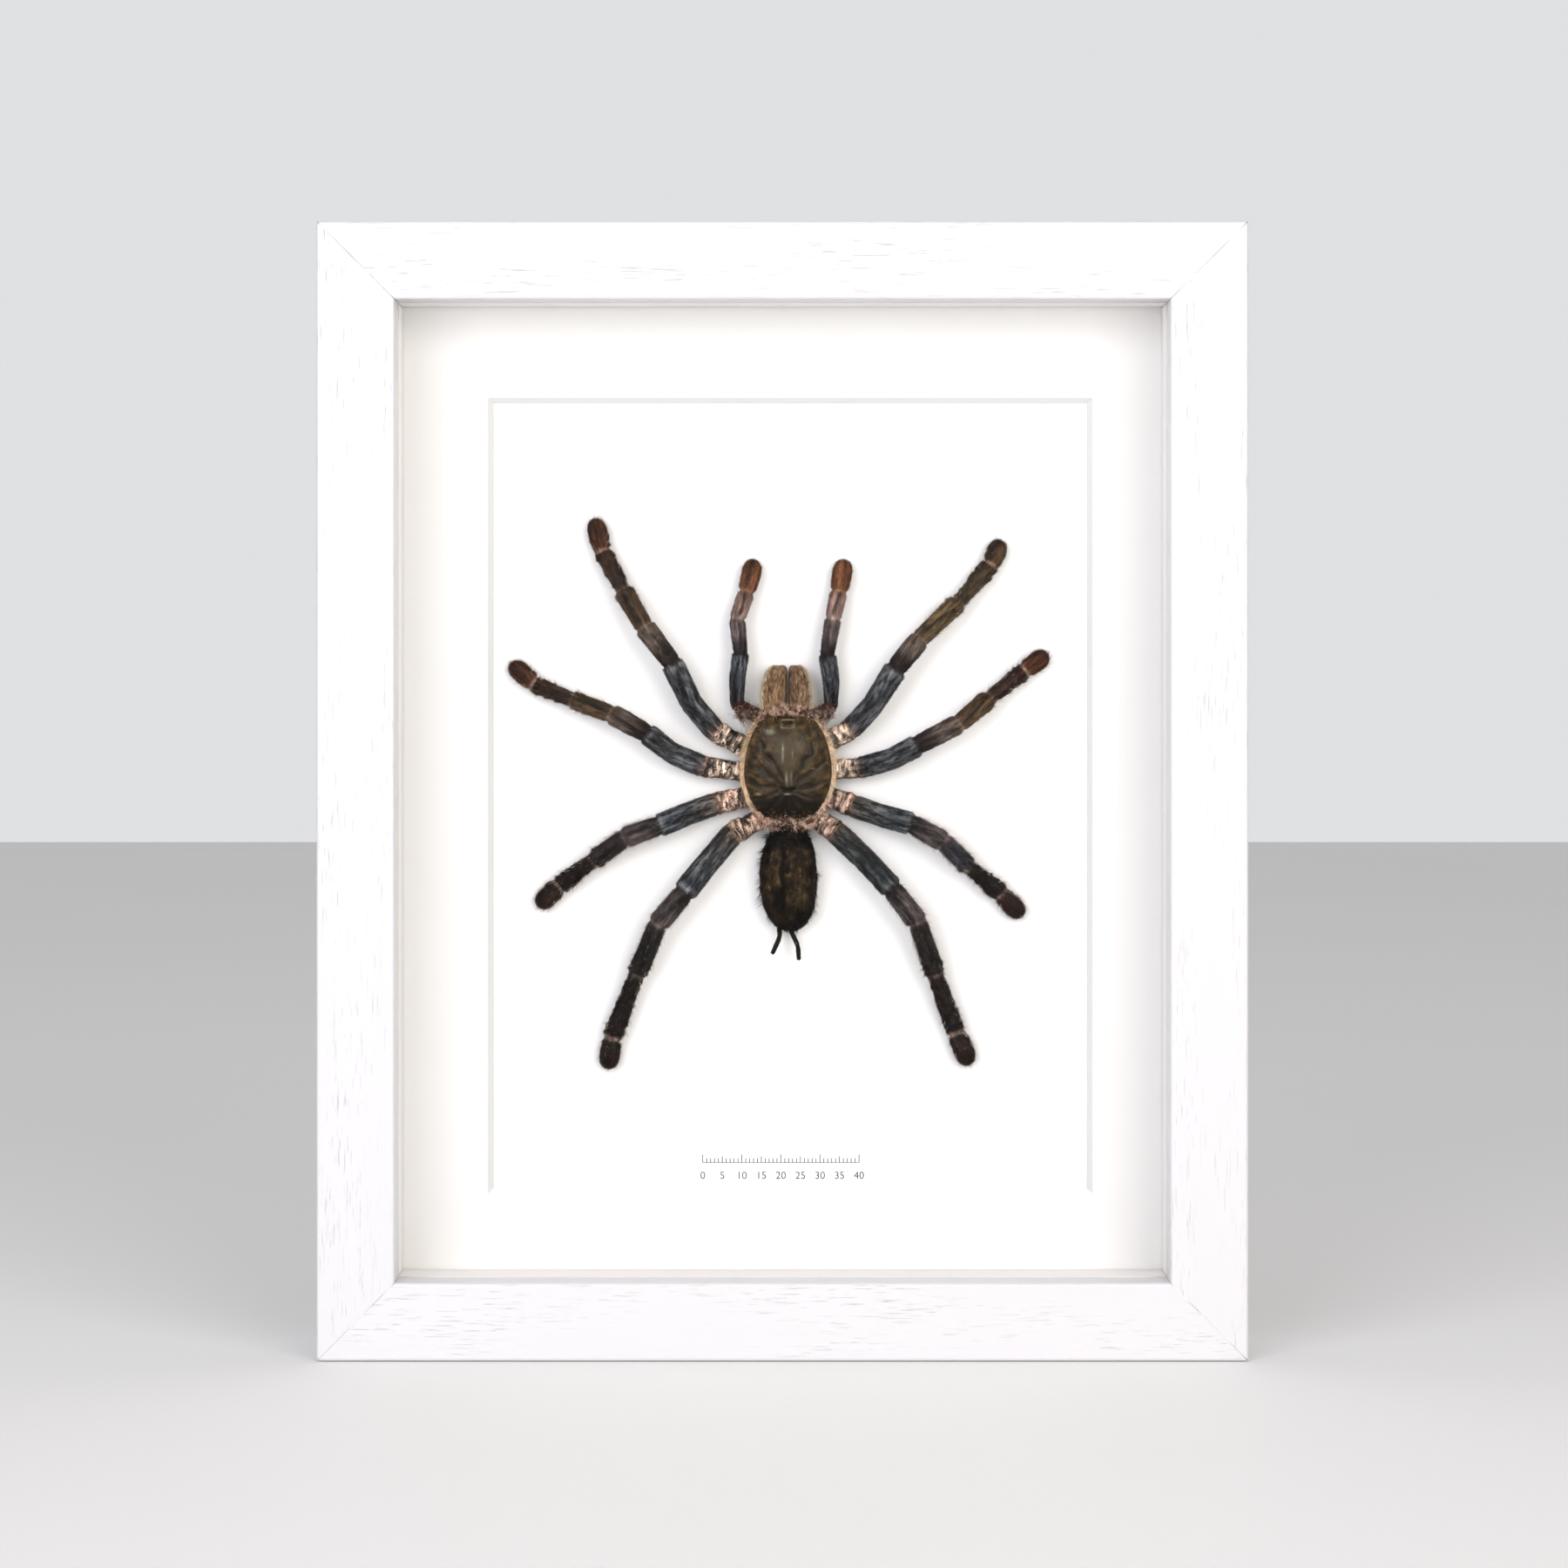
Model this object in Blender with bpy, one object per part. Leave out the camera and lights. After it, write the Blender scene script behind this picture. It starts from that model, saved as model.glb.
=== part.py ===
"""A dried tarantula in a white wooden box frame.

The frame stands on its bottom rail with its front facing -Y. Z is up, and X runs to the right as
seen from the front. The origin is the middle of the underside. Left and right are the viewer's.
"""

import math

import bmesh
import bpy
import numpy as np

MM = 0.001

# Clearance between pieces that touch, and at the mitres.
GAP = 0.3 * MM

# Box frame moulding: a flat front, a lip that shows round the glass, and a deep rebate behind it.
FRAME_WIDTH = 233 * MM
FRAME_HEIGHT = 285 * MM
FRAME_DEPTH = 35 * MM
RAIL_WIDTH = 19.5 * MM
LIP_WIDTH = 5 * MM
LIP_DEPTH = 10 * MM
EDGE_ROUND = 0.8 * MM
ROUND_STEPS = 3

# The pack inside the rebate, from the glass back.
GLASS_THICK = 2 * MM
SPACER_THICK = 4.7 * MM
MOUNT_FRONT = 25 * MM
MOUNT_THICK = 1.4 * MM
CARD_THICK = 1.5 * MM
BACKBOARD_THICK = 3 * MM

# The bevelled window in the mount, at the card, and how far its middle is off the frame's middle.
WINDOW_WIDTH = 152 * MM
WINDOW_HEIGHT = 201 * MM
WINDOW_SHIFT_X = 2.0 * MM
WINDOW_SHIFT_Z = -2.0 * MM
WINDOW_BEVEL = 1.3 * MM

# Bendable steel tabs, driven into the rebate wall, two on each rail.
TAB_WIDTH = 8 * MM
TAB_THICK = 0.6 * MM
TAB_ROOT = 5 * MM
TAB_REACH = 11 * MM
TAB_TIP_WIDTH = 4 * MM
TAB_TIP_STEPS = 6
TAB_SPREAD = 0.25

# Sawtooth hanger, riveted to the backboard inside the recess.
HANGER_LENGTH = 44 * MM
HANGER_HEIGHT = 9 * MM
HANGER_THICK = 0.7 * MM
HANGER_RISE = 1.4 * MM
HANGER_TOP_MARGIN = 32 * MM
HANGER_FOOT = 8 * MM
HANGER_RAMP = 3 * MM
TOOTH_COUNT = 11
TOOTH_DEPTH = 1.2 * MM
RIVET_HEAD_RADIUS = 2.2 * MM
RIVET_HEAD_HEIGHT = 0.8 * MM
RIVET_SHANK_RADIUS = 1.1 * MM
RIVET_SIDES = 16
# The rounded head: shares of its radius and of its height.
RIVET_HEAD_SHAPE = ((1.0, 0.0), (0.8, 0.7), (0.4, 1.0))

# The spider lies on the card. Its pieces are measured in mm from the middle of the carapace: x to
# the right, z up the card towards the head, and lift off the card towards the glass.
BODY_X = 1.4 * MM
BODY_Z = 148.1 * MM

# The head and chest: a domed shield (carapace) over a narrower floor (sternum). Each row is z, half
# width of the shield, lift of its crown, and half width of the floor.
CHEST_SECTIONS = [
    (13.1, 5.3, 8.2, 0.8),
    (12.4, 6.2, 9.0, 1.0),
    (10.2, 8.0, 9.9, 1.3),
    (6.7, 9.7, 10.4, 2.2),
    (3.3, 10.5, 10.4, 3.2),
    (-0.4, 11.0, 9.9, 3.9),
    (-3.3, 11.0, 9.4, 4.2),
    (-6.2, 10.3, 9.1, 4.0),
    (-9.3, 9.0, 8.8, 3.2),
    (-11.1, 7.8, 8.3, 2.4),
    (-12.4, 6.2, 7.8, 1.6),
    (-13.0, 4.6, 7.3, 1.2),
]
DOME_POINTS = 9
SHIELD_EDGE = 7.0
SHIELD_UNDERSIDE = 6.3
SHIELD_INSET = 0.94
FLOOR_LIFT = 1.0
FLOOR_FLAT = 0.6

# The abdomen and the jaws, along z: x of the middle, half width, low lift and high lift.
ABDOMEN_SECTIONS = [
    (-13.5, 0.3, 1.0, 3.6, 5.6),
    (-14.9, 0.3, 1.5, 3.2, 6.0),
    (-15.6, 0.2, 3.9, 2.2, 7.4),
    (-17.2, 0.2, 5.2, 1.2, 8.6),
    (-21.5, 0.2, 6.5, 0.8, 9.6),
    (-26.8, 0.1, 7.0, 0.8, 9.6),
    (-31.0, 0.2, 7.2, 0.8, 9.0),
    (-35.9, 0.2, 6.3, 1.0, 8.0),
    (-38.6, 0.4, 5.3, 1.6, 7.0),
    (-40.6, 0.5, 3.8, 2.3, 5.8),
    (-41.7, 0.6, 2.0, 3.0, 4.8),
]
ABDOMEN_SIDES = 14
CHELICERA_SECTIONS = [
    (13.8, 3.6, 2.8, 5.0, 8.6),
    (14.6, 3.8, 3.2, 4.8, 9.2),
    (18.0, 3.8, 3.2, 3.6, 9.6),
    (21.5, 3.4, 2.9, 2.2, 9.2),
    (24.0, 3.0, 2.5, 1.4, 8.0),
    (25.2, 2.8, 1.7, 1.8, 6.2),
    (25.6, 2.7, 0.8, 2.8, 5.0),
]
CHELICERA_SIDES = 12
# The right jaw dried a little narrower than the left.
CHELICERA_SPREAD = {"left": -1.0, "right": 0.87}
# How square the lobes are: 2 is an ellipse.
LOBE_SQUARENESS = 2.4

# Where each limb's joints are, as (x, z), from the body out to the tip: hip, trochanter, middle of
# the femur, knee, patella's end, tibia's end, metatarsus's end and tip. A palp has no metatarsus.
LEG_JOINTS = {
    "leg_1_left": [(-7.0, 3.0), (-18.5, 9.0), (-24.5, 16.0), (-29.5, 26.5),
                   (-36.5, 35.5), (-42.0, 45.0), (-47.5, 55.0), (-49.5, 63.5)],
    "leg_2_left": [(-7.0, -2.0), (-21.5, 0.0), (-29.5, 3.5), (-36.0, 8.5),
                   (-45.0, 13.5), (-55.0, 17.0), (-65.0, 21.0), (-71.0, 26.5)],
    "leg_3_left": [(-7.0, -7.0), (-18.5, -9.5), (-25.5, -12.0), (-33.0, -15.0),
                   (-41.5, -18.0), (-49.5, -24.0), (-58.5, -30.5), (-64.0, -36.0)],
    "leg_4_left": [(-5.0, -12.5), (-14.0, -17.0), (-20.5, -24.5), (-26.5, -32.0),
                   (-33.0, -40.0), (-38.5, -53.0), (-45.0, -69.5), (-46.0, -77.5)],
    "leg_1_right": [(7.0, 4.5), (16.0, 9.5), (21.5, 15.5), (27.5, 25.0),
                    (33.5, 32.5), (43.5, 42.0), (52.0, 51.5), (54.5, 58.0)],
    "leg_2_right": [(7.0, -1.0), (18.0, -0.5), (26.5, 2.0), (33.0, 5.5),
                    (43.5, 11.0), (51.5, 17.5), (60.5, 24.5), (66.5, 29.0)],
    "leg_3_right": [(7.0, -6.5), (16.5, -10.0), (24.0, -12.5), (31.5, -14.5),
                    (39.5, -19.0), (46.0, -25.5), (54.5, -32.5), (60.0, -38.5)],
    "leg_4_right": [(5.5, -12.0), (12.0, -16.5), (19.5, -23.5), (26.5, -31.0),
                    (33.0, -39.5), (37.5, -53.0), (43.0, -68.0), (46.5, -76.5)],
}
PALP_JOINTS = {
    "palp_left": [(-6.5, 12.5), (-13.0, 15.5), (-13.0, 22.0), (-12.0, 29.0), (-13.0, 37.5),
                  (-10.5, 44.5), (-8.5, 53.0)],
    "palp_right": [(6.0, 12.5), (11.0, 15.0), (11.0, 22.0), (10.0, 28.5), (11.5, 37.5),
                   (13.0, 44.5), (14.5, 53.0)],
}
SPINNERET_JOINTS = {
    "spinneret_left": [(-2.4, -40.6), (-2.0, -43.3), (-4.1, -48.0)],
    "spinneret_right": [(0.3, -41.0), (2.6, -45.9), (2.8, -49.6)],
}

# Lift of the middle of the limb at each joint, and the width at both ends of each segment.
LEG_LIFTS = (3.6, 4.6, 7.0, 8.4, 8.0, 5.6, 3.0, 2.5)
LEG_WIDTHS = ((4.6, 5.6), (5.6, 5.5), (5.5, 5.8), (4.9, 5.4), (4.6, 5.0), (3.6, 4.9), (4.5, 4.7))
PALP_LIFTS = (2.7, 3.6, 5.4, 6.4, 5.6, 3.8, 2.5)
PALP_WIDTHS = ((3.0, 3.4), (3.3, 3.9), (3.9, 4.3), (3.4, 4.0), (3.7, 4.3), (4.3, 4.7))
SPINNERET_LIFTS = (1.2, 3.7, 5.2)
SPINNERET_WIDTHS = ((1.1, 1.1), (1.1, 0.9))
# The second pair of legs is a little more slender than the others, and the last pair is stouter.
LEG_STOUTNESS = {1: 0.99, 2: 0.95, 3: 1.0, 4: 1.03}

# A limb's skin: points round it, its height over its width, the places of the rings along each
# segment, the turns of the rounded tip in degrees, and how far a bend is eased in mm.
LIMB_SIDES = 10
LIMB_FLATNESS = 0.85
SEGMENT_RINGS = (0.07, 0.5, 0.93)
TIP_TURNS = (0, 35, 65, 82)
BEND_SOFTNESS = 1.2
BEND_SAMPLES = 7
TANGENT_STEP = 0.5

# Edges that bend more than this stay crisp, in degrees.
CRISP_MOULDING = 40
CRISP_SHELL = 50
CRISP_LIMB = 60

# Places that follow from the sizes above.
FRONT = -FRAME_DEPTH / 2
GLASS_FRONT = FRONT + LIP_DEPTH + GAP
SPACER_FRONT = GLASS_FRONT + GLASS_THICK + GAP
CARD_FRONT = FRONT + MOUNT_FRONT + MOUNT_THICK + GAP
BACKBOARD_FRONT = CARD_FRONT + CARD_THICK + GAP
BACKBOARD_BACK = BACKBOARD_FRONT + BACKBOARD_THICK
REBATE_WALL = RAIL_WIDTH - LIP_WIDTH
PACK_WIDTH = FRAME_WIDTH - 2 * (REBATE_WALL + GAP)
PACK_HEIGHT = FRAME_HEIGHT - 2 * (REBATE_WALL + GAP)
FRAME_MIDDLE = FRAME_HEIGHT / 2


def make_material(name, colour, roughness, metallic=0.0):
    """A plain finish for one kind of piece."""
    material = bpy.data.materials.new(name)
    material.use_nodes = True
    shader = material.node_tree.nodes["Principled BSDF"]
    shader.inputs["Base Color"].default_value = (*colour, 1.0)
    shader.inputs["Roughness"].default_value = roughness
    shader.inputs["Metallic"].default_value = metallic
    return material


def make_object(name, points, faces, material, crisp_above=None):
    """One closed body from its points and faces, smooth-shaded where it is round."""
    mesh = bpy.data.meshes.new(name)
    mesh.from_pydata([tuple(point) for point in points], [], faces)
    mesh.materials.append(material)
    turned_out = bmesh.new()
    turned_out.from_mesh(mesh)
    bmesh.ops.recalc_face_normals(turned_out, faces=turned_out.faces)
    turned_out.to_mesh(mesh)
    turned_out.free()
    if crisp_above is not None:
        mesh.shade_smooth()
        mesh.set_sharp_from_angle(angle=math.radians(crisp_above))
    piece = bpy.data.objects.new(name, mesh)
    bpy.context.collection.objects.link(piece)
    return piece


def make_box(name, low, high, material):
    """A plain block between two corners."""
    points = [(x, y, z) for x in (low[0], high[0]) for y in (low[1], high[1]) for z in (low[2], high[2])]
    faces = [(0, 1, 3, 2), (4, 6, 7, 5), (0, 4, 5, 1), (2, 3, 7, 6), (0, 2, 6, 4), (1, 5, 7, 3)]
    return make_object(name, points, faces, material)


def skin_faces(rings, count):
    """Faces of a closed tube: rings of `count` points each, with both ends capped."""
    faces = [tuple(range(count))]
    for ring in range(rings - 1):
        first = ring * count
        for place in range(count):
            after = (place + 1) % count
            faces.append((first + place, first + count + place, first + count + after, first + after))
    faces.append(tuple(reversed(range((rings - 1) * count, rings * count))))
    return faces


def turned_piece(name, centre, profile, material):
    """A round piece: (radius, y) pairs turned about a line along Y through the centre."""
    points = []
    for radius, y in profile:
        for side in range(RIVET_SIDES):
            angle = 2 * math.pi * side / RIVET_SIDES
            points.append((centre[0] + radius * math.cos(angle), y, centre[1] + radius * math.sin(angle)))
    faces = skin_faces(len(profile), RIVET_SIDES)
    return make_object(name, points, faces, material, CRISP_MOULDING)


def subtract(piece, cutter):
    """Cuts a guide shape, drawn in the piece's own frame, out of the piece."""
    cutter.matrix_world = piece.matrix_world
    cutter.hide_render = True
    cutter.display_type = "WIRE"
    difference = piece.modifiers.new(cutter.name, "BOOLEAN")
    difference.operation = "DIFFERENCE"
    difference.object = cutter


def arc(centre, radius, start_degrees, end_degrees, steps):
    """Points along a round corner, both ends included."""
    angles = np.radians(np.linspace(start_degrees, end_degrees, steps + 1))
    return [(centre[0] + radius * math.cos(turn), centre[1] + radius * math.sin(turn)) for turn in angles]


def rail_profile():
    """The moulding's section: (in from the outer edge, back from the front face)."""
    edge = EDGE_ROUND
    outer_corner = arc((edge, edge), edge, 180, 270, ROUND_STEPS)
    sight_corner = arc((RAIL_WIDTH - edge, edge), edge, -90, 0, ROUND_STEPS)
    rebate = [(RAIL_WIDTH, LIP_DEPTH), (REBATE_WALL, LIP_DEPTH), (REBATE_WALL, FRAME_DEPTH)]
    back_corner = arc((edge / 2, FRAME_DEPTH - edge / 2), edge / 2, 90, 180, 1)
    return outer_corner + sight_corner + rebate + back_corner


def make_rail(name, length, turn_degrees, location, material):
    """One mitred rail: its outer edge runs along its own X, and its own Z points into the frame."""
    profile = rail_profile()
    points = []
    for end in (-1, 1):
        for inward, back in profile:
            points.append((end * (length / 2 - inward - GAP / 2), FRONT + back, inward))
    rail = make_object(name, points, skin_faces(2, len(profile)), material, CRISP_MOULDING)
    rail.location = location
    rail.rotation_euler = (0, math.radians(turn_degrees), 0)
    return rail


def tab_outline(middle):
    """A tab seen from behind: a square root in the wood, and a tapered tip over the board."""
    half = TAB_WIDTH / 2
    tip = TAB_TIP_WIDTH / 2
    root = REBATE_WALL - TAB_ROOT
    shoulder = REBATE_WALL + half
    nose = arc((middle, REBATE_WALL + TAB_REACH - tip), tip, 0, 180, TAB_TIP_STEPS)
    right_edge = [(middle + half, root), (middle + half, shoulder)]
    left_edge = [(middle - half, shoulder), (middle - half, root)]
    return right_edge + nose + left_edge


def add_tabs(rail, side, length, material):
    """Two tabs on a rail, each with the slot that its root is driven into."""
    near = BACKBOARD_BACK + GAP
    far = near + TAB_THICK
    reach = TAB_WIDTH / 2 + GAP
    for label, place in (("a", -TAB_SPREAD), ("b", TAB_SPREAD)):
        middle = place * length
        outline = tab_outline(middle)
        points = [(along, depth, inward) for depth in (near, far) for along, inward in outline]
        tab = make_object(f"flex_tab_{side}_{label}", points, skin_faces(2, len(outline)), material)
        tab.location = rail.location
        tab.rotation_euler = rail.rotation_euler
        slot_low = (middle - reach, near - GAP, REBATE_WALL - TAB_ROOT - GAP)
        slot_high = (middle + reach, far + GAP, REBATE_WALL + 2 * GAP)
        subtract(rail, make_box(f"slot_{side}_{label}", slot_low, slot_high, material))


def make_frame(wood, steel):
    """The four mitred rails with their tabs."""
    sides = {
        "bottom": (FRAME_WIDTH, 0, (0, 0, 0)),
        "top": (FRAME_WIDTH, 180, (0, 0, FRAME_HEIGHT)),
        "left": (FRAME_HEIGHT, 90, (-FRAME_WIDTH / 2, 0, FRAME_MIDDLE)),
        "right": (FRAME_HEIGHT, -90, (FRAME_WIDTH / 2, 0, FRAME_MIDDLE)),
    }
    for side, (length, turn, location) in sides.items():
        rail = make_rail(f"rail_{side}", length, turn, location, wood)
        bpy.context.view_layer.update()
        add_tabs(rail, side, length, steel)


def make_sheet(name, front, thick, material):
    """A sheet that fills the rebate: the glass, the card or the backboard."""
    low = (-PACK_WIDTH / 2, front, FRAME_MIDDLE - PACK_HEIGHT / 2)
    high = (PACK_WIDTH / 2, front + thick, FRAME_MIDDLE + PACK_HEIGHT / 2)
    return make_box(name, low, high, material)


def make_spacers(material):
    """Four strips of board, flush with the lip, between the glass and the window mount."""
    front = SPACER_FRONT
    back = FRONT + MOUNT_FRONT - GAP
    half_width = PACK_WIDTH / 2
    low_z = FRAME_MIDDLE - PACK_HEIGHT / 2
    high_z = FRAME_MIDDLE + PACK_HEIGHT / 2
    thick = SPACER_THICK
    strips = {
        "bottom": ((-half_width, low_z), (half_width, low_z + thick)),
        "top": ((-half_width, high_z - thick), (half_width, high_z)),
        "left": ((-half_width, low_z + thick + GAP), (-half_width + thick, high_z - thick - GAP)),
        "right": ((half_width - thick, low_z + thick + GAP), (half_width, high_z - thick - GAP)),
    }
    for side, (low, high) in strips.items():
        make_box(f"spacer_{side}", (low[0], front, low[1]), (high[0], back, high[1]), material)


def rectangle(width, height, shift_x, shift_z, y):
    """The four corners of an upright rectangle about the frame's middle."""
    corners = [(-1, -1), (1, -1), (1, 1), (-1, 1)]
    middle_z = FRAME_MIDDLE + shift_z
    return [(shift_x + across * width / 2, y, middle_z + up * height / 2) for across, up in corners]


def make_window_mount(material):
    """A sheet with a window whose edge slopes in to the card."""
    front = FRONT + MOUNT_FRONT
    back = front + MOUNT_THICK
    shift = (WINDOW_SHIFT_X, WINDOW_SHIFT_Z)
    opening = (WINDOW_WIDTH + 2 * WINDOW_BEVEL, WINDOW_HEIGHT + 2 * WINDOW_BEVEL)
    points = rectangle(PACK_WIDTH, PACK_HEIGHT, 0, 0, back)
    points += rectangle(PACK_WIDTH, PACK_HEIGHT, 0, 0, front)
    points += rectangle(*opening, *shift, front)
    points += rectangle(WINDOW_WIDTH, WINDOW_HEIGHT, *shift, back)
    faces = []
    for here in (0, 4, 8, 12):
        after = (here + 4) % 16
        for corner in range(4):
            beside = (corner + 1) % 4
            faces.append((here + corner, here + beside, after + beside, after + corner))
    make_object("window_mount", points, faces, material)


def make_hanger(board, steel):
    """A strip with a toothed lower edge, held to the backboard by two rivets."""
    back = BACKBOARD_BACK + GAP
    middle_z = FRAME_HEIGHT - HANGER_TOP_MARGIN
    half = HANGER_LENGTH / 2
    ramp_start = half - HANGER_FOOT
    ramp_end = ramp_start - HANGER_RAMP
    tooth_edges = np.linspace(-ramp_end, ramp_end, 2 * TOOTH_COUNT + 1)
    stations = [(-half, 0, 0), (-ramp_start, 0, 0)]
    stations += [(x, HANGER_RISE, TOOTH_DEPTH * (k % 2)) for k, x in enumerate(tooth_edges)]
    stations += [(ramp_start, 0, 0), (half, 0, 0)]
    points = []
    for x, rise, notch in stations:
        near = back + rise
        far = near + HANGER_THICK
        top = middle_z + HANGER_HEIGHT / 2
        bottom = middle_z - HANGER_HEIGHT / 2 + notch
        points += [(x, near, bottom), (x, near, top), (x, far, top), (x, far, bottom)]
    hanger = make_object("sawtooth_hanger", points, skin_faces(len(stations), 4), steel)
    face = back + HANGER_THICK + GAP
    hole_radius = RIVET_SHANK_RADIUS + GAP
    for side, sign in (("left", -1), ("right", 1)):
        centre = (sign * (half - HANGER_FOOT / 2), middle_z)
        hole = turned_piece(f"rivet_hole_{side}", centre,
                            [(hole_radius, BACKBOARD_FRONT - GAP), (hole_radius, face + GAP)], steel)
        subtract(hanger, hole)
        subtract(board, hole)
        profile = [(RIVET_SHANK_RADIUS, BACKBOARD_FRONT), (RIVET_SHANK_RADIUS, face)]
        for wide, high in RIVET_HEAD_SHAPE:
            profile.append((RIVET_HEAD_RADIUS * wide, face + RIVET_HEAD_HEIGHT * high))
        turned_piece(f"hanger_rivet_{side}", centre, profile, steel)


def limb_stations(along, widths):
    """Places along a limb with their half widths: rings in each segment, and a rounded tip."""
    stations = [(along[0], widths[0][0] / 2)]
    tip_radius = widths[-1][1] / 2
    tip_start = along[-1] - tip_radius
    for segment, (start, end) in enumerate(widths):
        reach = along[segment + 1] - along[segment]
        for share in SEGMENT_RINGS:
            place = along[segment] + share * reach
            if place < tip_start - TANGENT_STEP:
                stations.append((place, (start + share * (end - start)) / 2))
    for turn in np.radians(TIP_TURNS):
        stations.append((tip_start + tip_radius * math.sin(turn), tip_radius * math.cos(turn)))
    return stations


def make_limb(name, joints, lifts, widths, stoutness, material, parent):
    """A limb lofted along its joints: each segment flares outwards, then steps in to the next."""
    knots = np.array([(x, -lift, z) for (x, z), lift in zip(joints, lifts)])
    along = np.concatenate([[0], np.cumsum(np.linalg.norm(np.diff(knots, axis=0), axis=1))])

    def on_path(place):
        return np.array([np.interp(place, along, knots[:, axis]) for axis in range(3)])

    def eased(place):
        nearby = np.clip(place + np.linspace(-BEND_SOFTNESS, BEND_SOFTNESS, BEND_SAMPLES), 0, along[-1])
        return on_path(nearby).mean(axis=1)

    points = []
    angles = np.linspace(0, 2 * math.pi, LIMB_SIDES, endpoint=False)
    for place, half_width in limb_stations(along, widths):
        half_width *= stoutness
        tangent = eased(place + TANGENT_STEP) - eased(place - TANGENT_STEP)
        tangent /= np.linalg.norm(tangent)
        sideways = np.cross(tangent, (0, -1, 0))
        sideways /= np.linalg.norm(sideways)
        off_card = np.cross(sideways, tangent)
        middle = (on_path(place) + eased(place)) / 2
        for angle in angles:
            across = half_width * math.cos(angle) * sideways
            rise = LIMB_FLATNESS * half_width * math.sin(angle) * off_card
            points.append((middle + across + rise) * MM)
    faces = skin_faces(len(points) // LIMB_SIDES, LIMB_SIDES)
    limb = make_object(name, points, faces, material, CRISP_LIMB)
    limb.parent = parent


def make_lobe(name, sections, sides, material, parent):
    """A rounded body lofted along z: each section is (z, x, half width, low lift, high lift) in mm."""
    rounding = 2 / LOBE_SQUARENESS
    points = []
    for z, x, half_width, low, high in sections:
        for side in range(sides):
            angle = 2 * math.pi * side / sides
            cosine = math.cos(angle)
            sine = math.sin(angle)
            across = math.copysign(abs(cosine) ** rounding, cosine) * half_width
            lift = (low + high) / 2 + math.copysign(abs(sine) ** rounding, sine) * (high - low) / 2
            points.append((MM * (x + across), -MM * lift, MM * z))
    lobe = make_object(name, points, skin_faces(len(sections), sides), material, CRISP_LIMB)
    lobe.parent = parent


def make_cephalothorax(material, parent):
    """The shield and the floor under it as one stiff shell, lofted from head to waist."""
    turns = np.radians(np.linspace(0, 180, DOME_POINTS))
    points = []
    for z, shield, crown, floor in CHEST_SECTIONS:
        dome_rise = crown - SHIELD_EDGE
        rim = SHIELD_INSET * shield
        section = [(shield * math.cos(turn), SHIELD_EDGE + dome_rise * math.sin(turn)) for turn in turns]
        section += [(-rim, SHIELD_UNDERSIDE), (-floor, SHIELD_UNDERSIDE), (-floor, 2 * FLOOR_LIFT)]
        section += [(-FLOOR_FLAT * floor, FLOOR_LIFT), (FLOOR_FLAT * floor, FLOOR_LIFT)]
        section += [(floor, 2 * FLOOR_LIFT), (floor, SHIELD_UNDERSIDE), (rim, SHIELD_UNDERSIDE)]
        points += [(MM * x, -MM * lift, MM * z) for x, lift in section]
    faces = skin_faces(len(CHEST_SECTIONS), len(points) // len(CHEST_SECTIONS))
    chest = make_object("cephalothorax", points, faces, material, CRISP_SHELL)
    chest.parent = parent


def make_specimen():
    """The dried spider, spread flat on the card."""
    chitin = make_material("carapace_shell", (0.075, 0.060, 0.032), 0.55)
    skin = make_material("abdomen_skin", (0.035, 0.025, 0.014), 0.7)
    jaw = make_material("jaw_shell", (0.30, 0.20, 0.11), 0.6)
    leg = make_material("leg_hair", (0.055, 0.060, 0.068), 0.75)
    palp = make_material("palp_hair", (0.080, 0.060, 0.058), 0.75)
    spinneret = make_material("spinneret_skin", (0.020, 0.015, 0.012), 0.7)
    body = bpy.data.objects.new("specimen", None)
    body.location = (BODY_X, CARD_FRONT, BODY_Z)
    bpy.context.collection.objects.link(body)
    make_cephalothorax(chitin, body)
    make_lobe("abdomen", ABDOMEN_SECTIONS, ABDOMEN_SIDES, skin, body)
    for side, spread in CHELICERA_SPREAD.items():
        sections = [
            (z, spread * x, abs(spread) * half_width, low, high)
            for z, x, half_width, low, high in CHELICERA_SECTIONS
        ]
        make_lobe(f"chelicera_{side}", sections, CHELICERA_SIDES, jaw, body)
    for name, joints in LEG_JOINTS.items():
        pair = int(name.split("_")[1])
        make_limb(name, joints, LEG_LIFTS, LEG_WIDTHS, LEG_STOUTNESS[pair], leg, body)
    for name, joints in PALP_JOINTS.items():
        make_limb(name, joints, PALP_LIFTS, PALP_WIDTHS, 1.0, palp, body)
    for name, joints in SPINNERET_JOINTS.items():
        make_limb(name, joints, SPINNERET_LIFTS, SPINNERET_WIDTHS, 1.0, spinneret, body)


def main():
    for item in list(bpy.data.objects):
        bpy.data.objects.remove(item, do_unlink=True)
    wood = make_material("painted_wood", (0.86, 0.86, 0.88), 0.45)
    steel = make_material("plated_steel", (0.62, 0.60, 0.56), 0.35, metallic=1.0)
    clear = make_material("picture_glass", (0.95, 0.97, 0.96), 0.03)
    foam = make_material("spacer_board", (0.84, 0.83, 0.82), 0.8)
    mount = make_material("mount_board", (0.90, 0.89, 0.87), 0.9)
    card = make_material("card", (0.93, 0.93, 0.93), 0.85)
    fibreboard = make_material("fibreboard", (0.42, 0.27, 0.15), 0.8)
    make_frame(wood, steel)
    make_sheet("glass", GLASS_FRONT, GLASS_THICK, clear)
    make_spacers(foam)
    make_window_mount(mount)
    make_sheet("specimen_card", CARD_FRONT, CARD_THICK, card)
    board = make_sheet("backboard", BACKBOARD_FRONT, BACKBOARD_THICK, fibreboard)
    make_hanger(board, steel)
    make_specimen()


main()
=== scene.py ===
import math

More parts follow.
